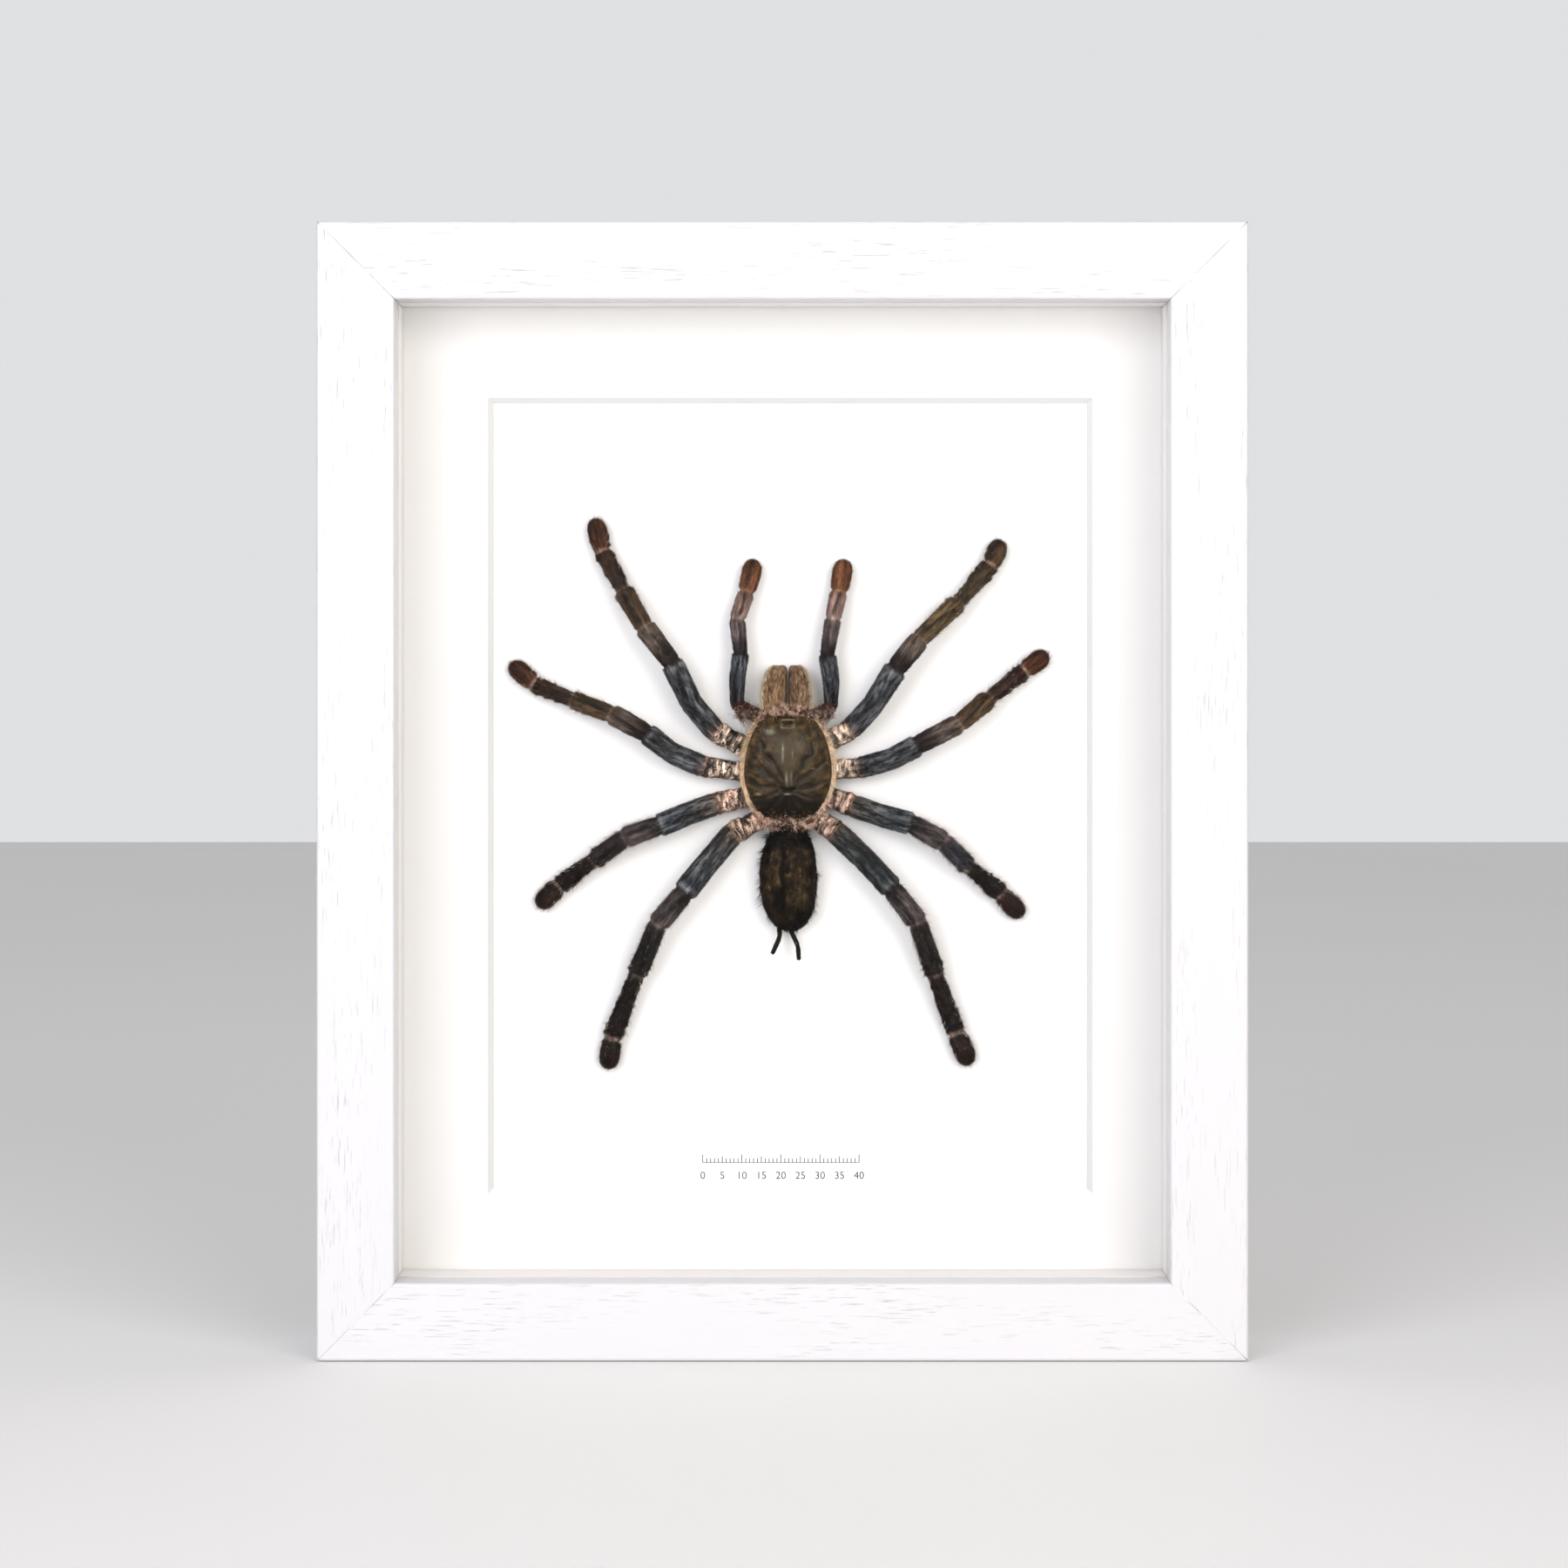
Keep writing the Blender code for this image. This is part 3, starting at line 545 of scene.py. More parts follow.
def shield_rise(x, z, reach):
    """Height over the edge: a dome that falls off towards the edge, a raised head, grooves that run
    out from the pit, a paired ridge in front of the pit, and the mound that carries the eyes."""
    far = np.hypot(x, z - PIT_Z)
    turn = abs(np.arctan2(x, z - PIT_Z))
    height = 2.9 * (1 - reach ** 2.8) + 0.8 * np.exp(-(x / 4.6) ** 2 - ((z - 5.5) / 6.0) ** 2)
    fade = np.clip(far / 3.0, 0, 1) * np.clip((1 - reach) / 0.12, 0, 1)
    warp = 0.10 * lumps(stacked(x / 3.1, z / 3.1, 0 * x), 6)
    groove = sum(np.exp(-((turn + warp - aim) * far / 0.65) ** 2) for aim in GROOVE_TURNS) * fade
    ridge = np.exp(-((abs(x + 0.2) - 0.7) / 0.5) ** 2)
    ridge *= np.clip((4.6 - z) / 1.5, 0, 1) * np.clip((z + 5.2) / 1.2, 0, 1)
    pit = np.exp(-(x / 1.7) ** 4 - ((z - PIT_Z - 0.10 * x ** 2) / 0.42) ** 2)
    mound = np.exp(-((x + 0.1) / 1.75) ** 4 - ((z - MOUND_Z) / 1.15) ** 4)
    grain = lumps(stacked(x, z, 0 * x) / 1.3, 5) + lumps(stacked(x, z, 0 * x) / 2.9, 7)
    height += 0.10 * grain + 0.14 * ridge + 0.75 * mound - 0.22 * groove - 0.8 * pit
    return height, groove + 1.4 * pit


angle = np.linspace(0, FULL_TURN, 220, endpoint=False)
edge = outline_reach(angle)
reach = np.concatenate([np.linspace(0.01, 0.9, 80), np.linspace(0.91, 1.0, 14)])[:, None]
top = np.stack([reach * edge * np.cos(angle), reach * edge * np.sin(angle)])
rise, groove = shield_rise(*top, np.broadcast_to(reach, top.shape[1:]))
upper = stacked(top[0], -SHIELD_EDGE_LIFT - rise, top[1])
under = np.array([0.99, 0.95, 0.6, 0.1])[:, None, None] * upper[-1] * (1, 0, 1)
under[..., 1] = -SHIELD_EDGE_LIFT + np.array([0.25, 0.5, 0.5, 0.5])[:, None]
rings = np.concatenate([upper, under])
x, z = rings[..., 0], rings[..., 2] - PIT_Z
spoke = stacked(np.arctan2(x, z) * 9, np.hypot(x, z) * 0.4, rings[..., 1])
groove = np.concatenate([groove, np.zeros_like(under[..., 0])])

chitin, tree, shader = finish("carapace_shell", roughness=0.5, specular_ior_level=0.16)
place = place_on(tree)
blotch = noise(tree, place, 330.0, 5.0, 0.65)
streak = noise(tree, read(tree, "spoke", "Vector"), 1.0, 4.0, 0.6)
shell = ramp(tree, blotch, [(0.34, (38, 27, 12)), (0.46, (54, 40, 20)), (0.56, (68, 52, 28)),
                            (0.72, (92, 74, 44))])
lines = mapped(tree, streak, 0.38, 0.62, 0.42, 1.65)
rayed = shaded(tree, shell, lines)
middle = mixed(tree, read(tree, "crest"), rayed, screen(74, 64, 46))
back = mixed(tree, read(tree, "rear"), middle, screen(16, 9, 4))
# The pale value lays on the shield's own pale patches and painted highlights.
pale_marks_and_highlights = mixed(tree, read(tree, "pale"), back, screen(178, 172, 146))
# Painted shade: the shield is darker down in its grooves and its pit.
shifted_tone = mixed(tree, read(tree, "groove"), pale_marks_and_highlights, screen(28, 22, 15))
gloss = mapped(tree, blotch, low=0.26, high=0.56)
relief = bump(tree, streak, 0.35, 0.0003)
wire(tree, shader, base_color=shifted_tone, roughness=gloss, normal=relief)


def spot(across, up, wide, tall):
    """A soft oval on the shield at a place in mm: a pale patch of its own or a painted highlight."""
    return np.exp(-((rings[..., 0] - across) / wide) ** 2 - ((rings[..., 2] - up) / tall) ** 2)


crest = 0.85 * np.clip(1.2 - abs(rings[..., 0]) / (1.7 + 0.22 * np.clip(rings[..., 2] + 6, 0, 16)), 0, 1)
crest *= np.clip((rings[..., 2] + 6.2) / 1.5, 0, 1) * np.clip((11 - rings[..., 2]) / 5, 0, 1)
rear = np.clip((-5.6 - rings[..., 2] - 0.25 * abs(rings[..., 0])) / 1.6, 0, 0.9)
# Pale patches of the shield's own, and painted highlights: the short lines along the paired ridge in front of the pit
# and the spots at the back left and on the right side.
pale = 0.9 * spot(-1.3, 3.6, 0.26, 1.7) + 0.25 * spot(1.2, 3.2, 0.22, 1.0) + 0.7 * spot(-4.6, 8.9, 1.0, 0.6)
pale += 0.8 * spot(-7.5, -6.9, 0.7, 0.28) + 0.6 * spot(6.6, -0.4, 0.8, 0.22) + 0.7 * spot(0, -6.9, 1.5, 0.16)
rim = (((rings[..., 0] + 0.1) / 1.65) ** 4 + ((rings[..., 2] - MOUND_Z) / 1.05) ** 4) ** 0.25
pale += 0.42 * np.exp(-((rim - 1) / 0.12) ** 2) * (rings[..., 1] < -SHIELD_EDGE_LIFT)
pale *= np.clip(0.75 + 0.7 * lumps(rings * 1.7, 9), 0, 1.2)
pale += 0.5 * spot(-0.4, -3.2, 0.25, 1.6) + 0.5 * spot(0.9, -3.4, 0.25, 1.5) + 0.6 * spot(0, 12.0, 1.7, 0.18)
carapace = skin("carapace", rings, chitin, spoke=spoke, groove=np.clip(0.8 * groove, 0, 1), crest=crest, rear=rear,
                pale=np.clip(pale, 0, 1))
show(carapace, "carapace_shell", "cephalothorax")

EYES = np.array([
    # across, up from the mound's middle, and radius, in mm
    (-0.42, 0.05, 0.34), (0.36, 0.05, 0.34), (-1.15, 0.38, 0.26), (1.05, 0.38, 0.26),
    (-0.95, -0.30, 0.18), (0.85, -0.30, 0.18), (-1.35, -0.25, 0.20), (1.25, -0.25, 0.20),
])
eye_surface, tree, shader = finish("eye_lens", roughness=0.12, ior=1.5)
cloud = noise(tree, place_on(tree), 2500.0)
wire(tree, shader, base_color=ramp(tree, cloud, [(0.35, (12, 9, 8)), (0.7, (64, 52, 40))]))
polar, turn = np.linspace(0.12, math.pi - 0.12, 9)[:, None], np.linspace(0, FULL_TURN, 14, endpoint=False)
ball = stacked(np.sin(polar) * np.cos(turn), -np.cos(polar), np.sin(polar) * np.sin(turn))
mound_top = SHIELD_EDGE_LIFT + shield_rise(np.array([0.0]), np.array([MOUND_Z]), np.array([0.8]))[0][0]
for number, (across, up, size) in enumerate(EYES):
    slope = 0.35 * across ** 2
    centre = np.array([across - 0.1, -mound_top + slope + 0.3 * size, MOUND_Z + up])
    eye = skin(f"eye_{number + 1}", centre + size * ball, eye_surface)
    show(eye, "carapace_shell")


# Rim: the soft pale skin that joins the shield to the hips shows as a band round the shield's edge,
# streaked by the roots of the fringe.
RIM_WIDTH = 1.1
RIM_LIFT = 6.5
rim_skin, tree, shader = finish("rim_skin", roughness=0.7, specular_ior_level=0.15)
locks = noise(tree, read(tree, "combing", "Vector"), 1.0, 4.0, 0.65)
peach = ramp(tree, locks, [(0.36, (150, 108, 68)), (0.45, (214, 172, 122)), (0.56, (246, 214, 168)),
                           (0.70, (255, 242, 214))])
dusk = ramp(tree, locks, [(0.38, (40, 24, 20)), (0.48, (128, 92, 76)), (0.58, (200, 160, 138)),
                          (0.70, (240, 214, 194))])
band = mixed(tree, read(tree, "sides"), dusk, peach)
relief = bump(tree, locks, 0.6, 0.0003)
wire(tree, shader, base_color=band, normal=relief)
angle = np.linspace(0, FULL_TURN, 260, endpoint=False)
bulge = np.linspace(0, math.pi, 14)[:, None]
rough = 1 + 0.15 * lumps(stacked(4.2 * np.cos(angle), 4.2 * np.sin(angle), 0 * angle) * 2.2, 15)
far = outline_reach(angle) - 1.2 + (1.2 + RIM_WIDTH * rough) * np.sin(bulge) ** 0.7
rings = stacked(far * np.cos(angle), -RIM_LIFT - 0.45 * np.cos(bulge) + 0 * far, far * np.sin(angle))
slant = (far - outline_reach(angle)) * 0.16 * np.sign(np.cos(angle))
combing = stacked(40 * np.cos(angle + slant), 40 * np.sin(angle + slant), 0.5 * far)
sides = np.clip(2.2 * abs(np.cos(angle)) - 0.75 - 0.4 * (np.sin(angle) < -0.7), 0, 1) + 0 * far
show(skin("chest_rim", rings, rim_skin, combing=combing, sides=sides), "carapace_shell")


# Hair of the chest: a combed fringe that stands out from under the shield's edge, peach at the
# sides, and a rough, darker tangle in front of the jaws and over the waist.
hair_finish, tree, shader = finish("chest_hair", roughness=0.6, specular_ior_level=0.2)
tone = ramp(tree, read(tree, "strand"), [(0.0, (70, 40, 30)), (0.3, (140, 98, 78)), (0.6, (214, 172, 148)),
                                         (1.0, (252, 230, 212))])
golden = ramp(tree, read(tree, "strand"), [(0.0, (200, 150, 104)), (1.0, (255, 244, 218))])
blend = mixed(tree, read(tree, "combed"), tone, golden)
root_shade = mapped(tree, read(tree, "reach"), low=0.6, high=1.0)
lock = noise(tree, place_on(tree), 620.0, 2.0, distortion=1.0)
clump = mapped(tree, lock, 0.44, 0.53, 0.08, 2.0)
held = mapped(tree, read(tree, "combed"), end=1.3, low=clump, high=1.2)
both = product(tree, root_shade, held)
lit = shaded(tree, blend, both)
wire(tree, shader, base_color=lit)

CHEST_HAIR_WIDTH = 0.10
chance = np.random.default_rng(11)
turn = chance.uniform(0, FULL_TURN, 9000)
far = outline_reach(turn) * chance.uniform(0.93, 1.02, turn.size)
roots = stacked(far * np.cos(turn), -chance.uniform(6.0, 7.1, turn.size), far * np.sin(turn))
outward = stacked(np.cos(turn), 0 * turn, np.sin(turn))
backward = stacked(np.sin(turn), 0 * turn, -np.cos(turn)) * np.sign(np.cos(turn))[:, None]
sides = np.clip(1.9 * abs(np.cos(turn)) - 0.75, 0, 1)
messy = chance.normal(0, 1, (turn.size, 3)) * (0.55 - 0.40 * sides[:, None])
leans = outward + (0.9 * sides)[:, None] * backward + messy
lengths = chance.uniform(1.0, 2.2, turn.size)
fringe = hairs("chest_fringe", roots, leans, lengths, CHEST_HAIR_WIDTH, hair_finish, joints=2,
               bend=0.25 * backward, combed=sides)
show(fringe, "carapace_shell")

ends = np.clip(1.25 * abs(chest_rings[:, 0, 2]) - 13.5, 0, 2.2)
roots, outward, lengthwise, row, place = roots_on(chest_rings, 8000, 12)
chance = np.random.default_rng(13)
forwards = -0.5 * np.sign(lengthwise[:, 2]) * (chest_rows[row] > 12)
leans = outward + chance.normal(0, 0.55, roots.shape) + forwards[:, None] * lengthwise
lengths = chance.uniform(0.7, 1.5, len(roots)) * (1 + 0.3 * ends[row])
tangle = hairs("chest_tangle", roots, leans, lengths, CHEST_HAIR_WIDTH, hair_finish, joints=2,
               bend=chance.normal(0, 0.35, roots.shape), combed=0.25 * chance.random(len(roots)))
show(tangle, "carapace_shell")

chance = np.random.default_rng(14)
for name, across, low, high, up, lift in (
    # reach to either side, lowest and highest z, lean and lift, in mm
    ("brow_hair", 7.0, 13.3, 15.6, 0.5, 9.9),
    ("waist_hair", 6.4, -16.2, -13.5, -0.9, 7.2),
):
    x = chance.uniform(-across, across, 2200)
    z = chance.uniform(low, high, x.size) - 0.035 * x ** 2 * np.sign(up)
    roots = stacked(x, -chance.uniform(-0.8, 0.8, x.size) - lift + 0.03 * x ** 2, z)
    leans = chance.normal(0, 0.6, roots.shape) + (0, -0.3, up) + 0.10 * roots * (1, 0, 0)
    bend = chance.normal(0, 0.4, roots.shape)
    lengths = chance.uniform(0.6, 1.5, x.size)
    clump = hairs(name, roots, leans, lengths, CHEST_HAIR_WIDTH, hair_finish, joints=2, bend=bend,
                  combed=0.2 * chance.random(x.size))
    show(clump, "carapace_shell")


# Abdomen: a soft sac that shrank as it dried, so its skin has a furrow along the back and folds that
# run together at the tail. It is covered in dark down that lies backwards.
ABDOMEN_SECTIONS = np.array([
    # z, x of the middle, half width, low lift and high lift, in mm
    (-13.0, 0.3, 1.0, 3.6, 5.6), (-14.6, 0.3, 2.6, 3.0, 6.6), (-15.6, 0.2, 3.4, 2.2, 7.4),
    (-17.2, 0.2, 4.8, 1.2, 8.6), (-21.5, 0.2, 6.5, 0.8, 9.6), (-26.8, 0.1, 7.0, 0.8, 9.6),
    (-31.0, 0.2, 7.2, 0.8, 9.0), (-35.9, 0.2, 6.3, 1.0, 8.0), (-38.6, 0.4, 5.3, 1.6, 7.0),
    (-40.6, 0.5, 3.8, 2.3, 5.8), (-41.6, 0.6, 2.2, 3.0, 4.8), (-41.9, 0.6, 0.6, 3.6, 4.2),
])
sac_skin, tree, shader = finish("abdomen_skin", roughness=0.55, specular_ior_level=0.08)
place = place_on(tree)
combed = node(tree, "Mapping", {"Vector": place, "Scale": (560, 520, 350)})
blotch = noise(tree, combed, 1.0, 4.0, 0.65)
tone = ramp(tree, blotch, [(0.38, (14, 9, 5)), (0.48, (42, 31, 18)), (0.58, (78, 62, 40)),
                           (0.70, (118, 100, 68))])
dark_ends = mixed(tree, read(tree, "ends"), tone, screen(14, 10, 8))
# Painted shade and light: the skin is darker in its folds and the furrow, and a little lighter on their tops.
pit = mapped(tree, read(tree, "fold"), -0.7, 0.5, 0.12, 1.2)
tone_with_painted_fold_shade = shaded(tree, dark_ends, pit)
relief = bump(tree, blotch, 0.5, 0.0004)
wire(tree, shader, base_color=tone_with_painted_fold_shade, normal=relief)

rows, middle, half, low, high = sections(ABDOMEN_SECTIONS, 150, 0.7)
angle, spread, rise = oval(120, 0.85)
rings = stacked(half * spread, -rise * (high - low) / 2, rows[:, None])
tail = np.clip((-31 - rows) / 6, 0, 1)[:, None]
furrow = np.exp(-((rings[..., 0] + 1.5 + 0.3 * np.sin(rows * 0.9)[:, None]) / 0.55) ** 2) * (rise > 0)
furrow *= np.clip((-17.5 - rows) / 3, 0, 1)[:, None] * np.clip((rows + 38) / 3, 0, 1)[:, None]
pleats = lumps(rings * (0.75, 0.75, 0.16) + 5, 21)
puckers = lumps(rings * (0.7, 0.7, 0.8) + 9, 22)
fold = (0.35 + 0.65 * tail) * pleats + 0.5 * puckers - 1.3 * furrow
rings = rings * (1 + 0.07 * fold[..., None] * (1, 1, 0)) + stacked(middle, -(low + high) / 2, 0 * rows[:, None])
ends = np.clip((rows + 22.5) / 4, 0, 1)[:, None] + 0.75 * tail + 0.8 * np.clip(2.6 * abs(np.cos(angle)) - 1.7, 0, 1)
abdomen = skin("abdomen_sac", rings, sac_skin, fold=fold, ends=np.clip(ends, 0, 1))
show(abdomen, "abdomen_skin", "abdomen")

down, tree, shader = finish("abdomen_down", roughness=0.55, specular_ior_level=0.08)
strand = ramp(tree, read(tree, "strand"), [(0.0, (36, 27, 17)), (0.6, (54, 42, 27)), (1.0, (84, 69, 48))])
combed = node(tree, "Mapping", {"Vector": place_on(tree), "Scale": (560, 520, 350)})
lock = noise(tree, combed, 1.0, 4.0, 0.65)
light = mapped(tree, lock, 0.38, 0.64, 0.75, 1.35)
patch = noise(tree, place_on(tree), 150.0, 4.0)
cloud = mapped(tree, patch, 0.40, 0.60, 0.35, 1.4)
# Painted shade: the value 'ends' darkens the down at the sac's dark front, tail and sides, and over the folds and the
# furrow of the skin below.
dark = mapped(tree, read(tree, "ends"), low=1.0, high=0.06)
across = node(tree, "SeparateXYZ", {0: place_on(tree)}).outputs["X"]
shifted_tone = mapped(tree, across, -2.5 * MM, 6.5 * MM, 1.4, 0.95)
cloud = product(tree, cloud, shifted_tone)
dark = product(tree, dark, cloud)
shade = product(tree, light, dark)
tone = shaded(tree, strand, shade)
wire(tree, shader, base_color=tone)
roots, outward, lengthwise, row, place = roots_on(rings, 11000, 31)
front = np.clip((rows[row] + 19) / 3, 0, 1)
leans = (0.28 + 0.5 * front)[:, None] * outward + (1 - 1.3 * front)[:, None] * lengthwise
leans += np.random.default_rng(32).normal(0, 0.2, roots.shape)
# Painted shade: the folds and the furrow of the skin darken the down over them.
shadow = np.clip(ends + 2.2 * np.clip(-fold - 0.15, 0, 1), 0, 1)
clumps = lumps(roots * (0.9, 0.9, 0.55) + 3, 34)
leans += 3.0 * np.clip(clumps - 0.15, 0, 1)[:, None] * outward
lengths = np.random.default_rng(33).uniform(0.6, 1.2, len(roots)) + 0.5 * front + 2.6 * np.clip(clumps - 0.15, 0, 1)
show(hairs("abdomen_down", roots, leans, lengths, 0.085, down, ends=shadow[row, place]), "abdomen_skin")


# Chelicerae: the two jaws, stout tan lobes with short hair combed forwards and a cream brush of
# longer hair along each outer side. Their fangs are folded underneath and don't show.
CHELICERA_SECTIONS = np.array([
    # z, inner side, outer side, low lift and high lift, in mm, for a jaw to the right
    (13.0, 0.8, 5.8, 5.0, 8.0), (14.6, 0.5, 6.7, 4.6, 9.0), (18.0, 0.42, 6.9, 3.6, 9.6), (21.5, 0.38, 6.3, 2.2, 9.2),
    (24.0, 0.35, 5.3, 1.4, 8.2), (25.0, 0.35, 4.8, 1.5, 7.2), (25.5, 0.5, 4.35, 1.8, 6.3), (25.8, 0.9, 3.6, 2.5, 5.2),
])
jaw_skin, tree, shader = finish("jaw_shell", roughness=0.6, specular_ior_level=0.2)
streak = noise(tree, read(tree, "grain", "Vector"), 1.0, 4.0, 0.65)
tone = ramp(tree, streak, [(0.30, (74, 48, 32)), (0.44, (124, 92, 66)), (0.56, (160, 124, 92)),
                           (0.72, (204, 172, 138))])
relief = bump(tree, streak, 0.6, 0.0003)
rimmed = mixed(tree, read(tree, "brush"), tone, screen(255, 242, 214))
wire(tree, shader, base_color=rimmed, normal=relief)
jaw_hair, tree, shader = finish("jaw_hair", roughness=0.55, specular_ior_level=0.2)
strand = ramp(tree, read(tree, "strand"), [(0.0, (92, 68, 48)), (0.5, (146, 118, 90)), (1.0, (204, 180, 148))])
lock = noise(tree, read(tree, "grain", "Vector"), 1.0, 4.0, 0.65)
light = mapped(tree, lock, 0.42, 0.59, 0.12, 1.9)
short = shaded(tree, strand, light)
brush = ramp(tree, read(tree, "strand"), [(0.0, (240, 214, 172)), (1.0, (255, 246, 226))])
greyed = shaded(tree, short, (0.62, 0.66, 0.78, 1), read(tree, "faded"))
# Painted shade: the hair darkens towards the slit between the two jaws.
tone_with_slit_shade = mixed(tree, read(tree, "inner"), greyed, screen(34, 22, 16))
blend = mixed(tree, read(tree, "brush"), tone_with_slit_shade, brush)
wire(tree, shader, base_color=blend)

rows, near, outer, low, high = sections(CHELICERA_SECTIONS, 110, 0.25)
middle, half = (near + outer) / 2, (outer - near) / 2
angle, spread, rise = oval(80, 0.8)
for side, stretch in (("left", -1.0), ("right", 0.87)):
    rings = stacked(stretch * (middle + half * spread), -(low + high) / 2 - rise * (high - low) / 2, rows[:, None])
    ribs = lumps(rings * (2.2, 1.6, 0.35), 41)
    rings = rings + 0.09 * ribs[..., None] * stacked(spread, -rise, 0 * half)
    outer_rim = np.clip((spread - 0.80) / 0.08, 0, 1) * np.clip((rows[:, None] - 13.6) / 1.0, 0, 1)
    jaw = skin(f"jaw_{side}", rings, jaw_skin, grain=rings * (1.7, 1.4, 0.38), brush=outer_rim)
    show(jaw, "jaw_shell", f"chelicera_{side}")
    roots, outward, lengthwise, row, place = roots_on(rings, 3600, 42)
    leans = 0.22 * outward + lengthwise + np.random.default_rng(43).normal(0, 0.12, roots.shape)
    edge = np.clip(5 * spread[place] - 4.2, 0, 1) * (rows[row] > 14.2)
    lengths = np.random.default_rng(44).uniform(0.7, 1.3, len(roots))
    leans[:, 0] += 0.55 * np.sign(stretch) * edge
    lengths *= np.clip((26.0 - roots[:, 2]) / 2.5, 0.25, 1) * np.where(spread[place] < -0.7, 0.4, 1)
    # Painted shade towards the slit between the jaws.
    inner = 0.8 * np.clip((-spread[place] - 0.62) / 0.3, 0, 1)
    fur = hairs(f"jaw_hair_{side}", roots, leans, lengths + 0.25 * edge, 0.085, jaw_hair, brush=edge,
                grain=(rings * (1.7, 1.4, 0.38))[row, place], faded=np.full(len(roots), 0.9 * (side == "right")),
                inner=inner)
    show(fur, "jaw_shell")


# Legs: eight limbs, each a chain of hollow tubes from coxa to tarsus. They were pinned out to dry, so
# the tubes shrank into lengthwise furrows with a dimple on top, and short down lies along them.
LEG_JOINTS = {
    # x and z in mm of the hip, the trochanter, the middle of the femur, the knee, the ends of the patella,
    # tibia and metatarsus, and the tip
    "leg_1_left": [(-7.0, 3.0), (-18.5, 9.0), (-24.5, 16.0), (-29.5, 26.5),
                   (-36.5, 35.5), (-42.0, 45.0), (-47.5, 55.0), (-49.5, 63.5)],
    "leg_2_left": [(-7.0, -2.0), (-21.5, 0.0), (-29.5, 3.5), (-36.0, 8.5),
                   (-45.0, 13.5), (-55.0, 17.0), (-65.0, 21.0), (-71.0, 26.5)],
    "leg_3_left": [(-7.0, -7.0), (-18.5, -9.5), (-25.5, -12.0), (-33.0, -15.0),
                   (-41.5, -18.0), (-49.5, -24.0), (-58.5, -30.5), (-64.0, -36.0)],
    "leg_4_left": [(-5.0, -12.5), (-14.0, -17.0), (-20.5, -24.5), (-26.5, -32.0),
                   (-33.0, -40.0), (-38.5, -53.0), (-45.0, -69.5), (-46.0, -77.5)],
    "leg_1_right": [(7.0, 4.5), (16.0, 9.5), (21.5, 15.5), (27.5, 25.0),
                    (33.5, 32.5), (43.5, 42.0), (52.0, 51.5), (54.5, 58.0)],
    "leg_2_right": [(7.0, -1.0), (18.0, -0.5), (26.5, 2.0), (33.0, 5.5),
                    (43.5, 11.0), (51.5, 17.5), (60.5, 24.5), (66.5, 29.0)],
    "leg_3_right": [(7.0, -6.5), (16.5, -10.0), (24.0, -12.5), (31.5, -14.5),
                    (39.5, -19.0), (46.0, -25.5), (54.5, -32.5), (60.0, -38.5)],
    "leg_4_right": [(5.5, -12.0), (12.0, -16.5), (19.5, -23.5), (26.5, -31.0),
                    (33.0, -39.5), (37.5, -53.0), (43.0, -68.0), (46.5, -76.5)],
}
LEG_LIFTS = (3.6, 4.6, 7.0, 8.4, 8.0, 5.6, 3.0, 2.5)
LEG_WIDTHS = ((4.6, 5.6), (5.6, 5.5), (5.5, 5.8), (4.9, 5.4), (4.6, 5.0), (3.6, 4.9), (4.5, 4.7))
LEG_STOUTNESS = {"1": 0.99, "2": 0.95, "3": 1.0, "4": 1.03}
LIMB_FLATNESS = 0.85
FRONT_LEG_COLOURS = {
    # number of joints from the hip, and the screen colour there
    0.0: (252, 226, 204), 0.9: (250, 222, 198), 1.02: (150, 118, 100), 1.1: (84, 80, 82), 1.5: (88, 90, 94),
    2.0: (86, 88, 91), 2.75: (88, 90, 94), 2.9: (120, 120, 122), 2.97: (36, 30, 28), 3.3: (66, 54, 49),
    3.55: (112, 98, 90), 3.96: (104, 88, 76), 4.0: (140, 120, 104), 4.04: (84, 64, 48), 4.5: (94, 74, 54),
    4.96: (74, 56, 40), 5.0: (112, 92, 76), 5.04: (58, 42, 32), 5.5: (60, 41, 28), 5.93: (52, 32, 22),
    5.96: (160, 134, 116), 6.01: (150, 122, 104), 6.06: (90, 54, 35), 6.6: (78, 46, 28), 7.0: (54, 31, 19),
}
REAR_LEG_COLOURS = {
    0.0: (220, 187, 167), 0.9: (212, 179, 159), 1.02: (130, 104, 90), 1.12: (100, 92, 86), 1.5: (104, 100, 98),
    2.0: (90, 92, 95), 2.75: (84, 90, 96), 2.9: (110, 112, 114), 2.97: (36, 32, 31), 3.3: (72, 64, 62),
    3.6: (92, 84, 84), 3.96: (84, 72, 70), 4.0: (112, 98, 93), 4.04: (42, 34, 31), 4.5: (36, 30, 29),
    4.96: (34, 27, 25), 5.0: (88, 75, 68), 5.04: (27, 18, 14), 5.5: (22, 13, 9), 5.93: (24, 14, 10),
    5.96: (132, 112, 102), 6.01: (124, 102, 90), 6.06: (46, 26, 19), 6.6: (36, 18, 11), 7.0: (28, 14, 9),
}
LEG_CHANGES = {
    "leg_1_right": {4.04: (100, 82, 60), 4.5: (112, 92, 66), 4.96: (92, 74, 52), 5.04: (76, 62, 44),
                    5.5: (80, 66, 46), 5.93: (62, 46, 32), 6.06: (88, 64, 42), 6.6: (78, 58, 40)},
    "leg_3_right": {4.04: (56, 54, 58), 4.5: (64, 62, 70), 4.96: (46, 44, 48)},
    "leg_3_left": {4.04: (52, 44, 43), 4.5: (48, 41, 40)},
    "leg_4_left": {1.5: (84, 82, 82), 2.75: (56, 60, 66), 6.06: (34, 25, 22)},
    "leg_4_right": {1.12: (80, 76, 72), 1.5: (74, 74, 74), 2.0: (66, 70, 72), 2.75: (62, 66, 68), 6.06: (32, 22, 18)},
}
HAIRS_ON_A_LEG = 9500


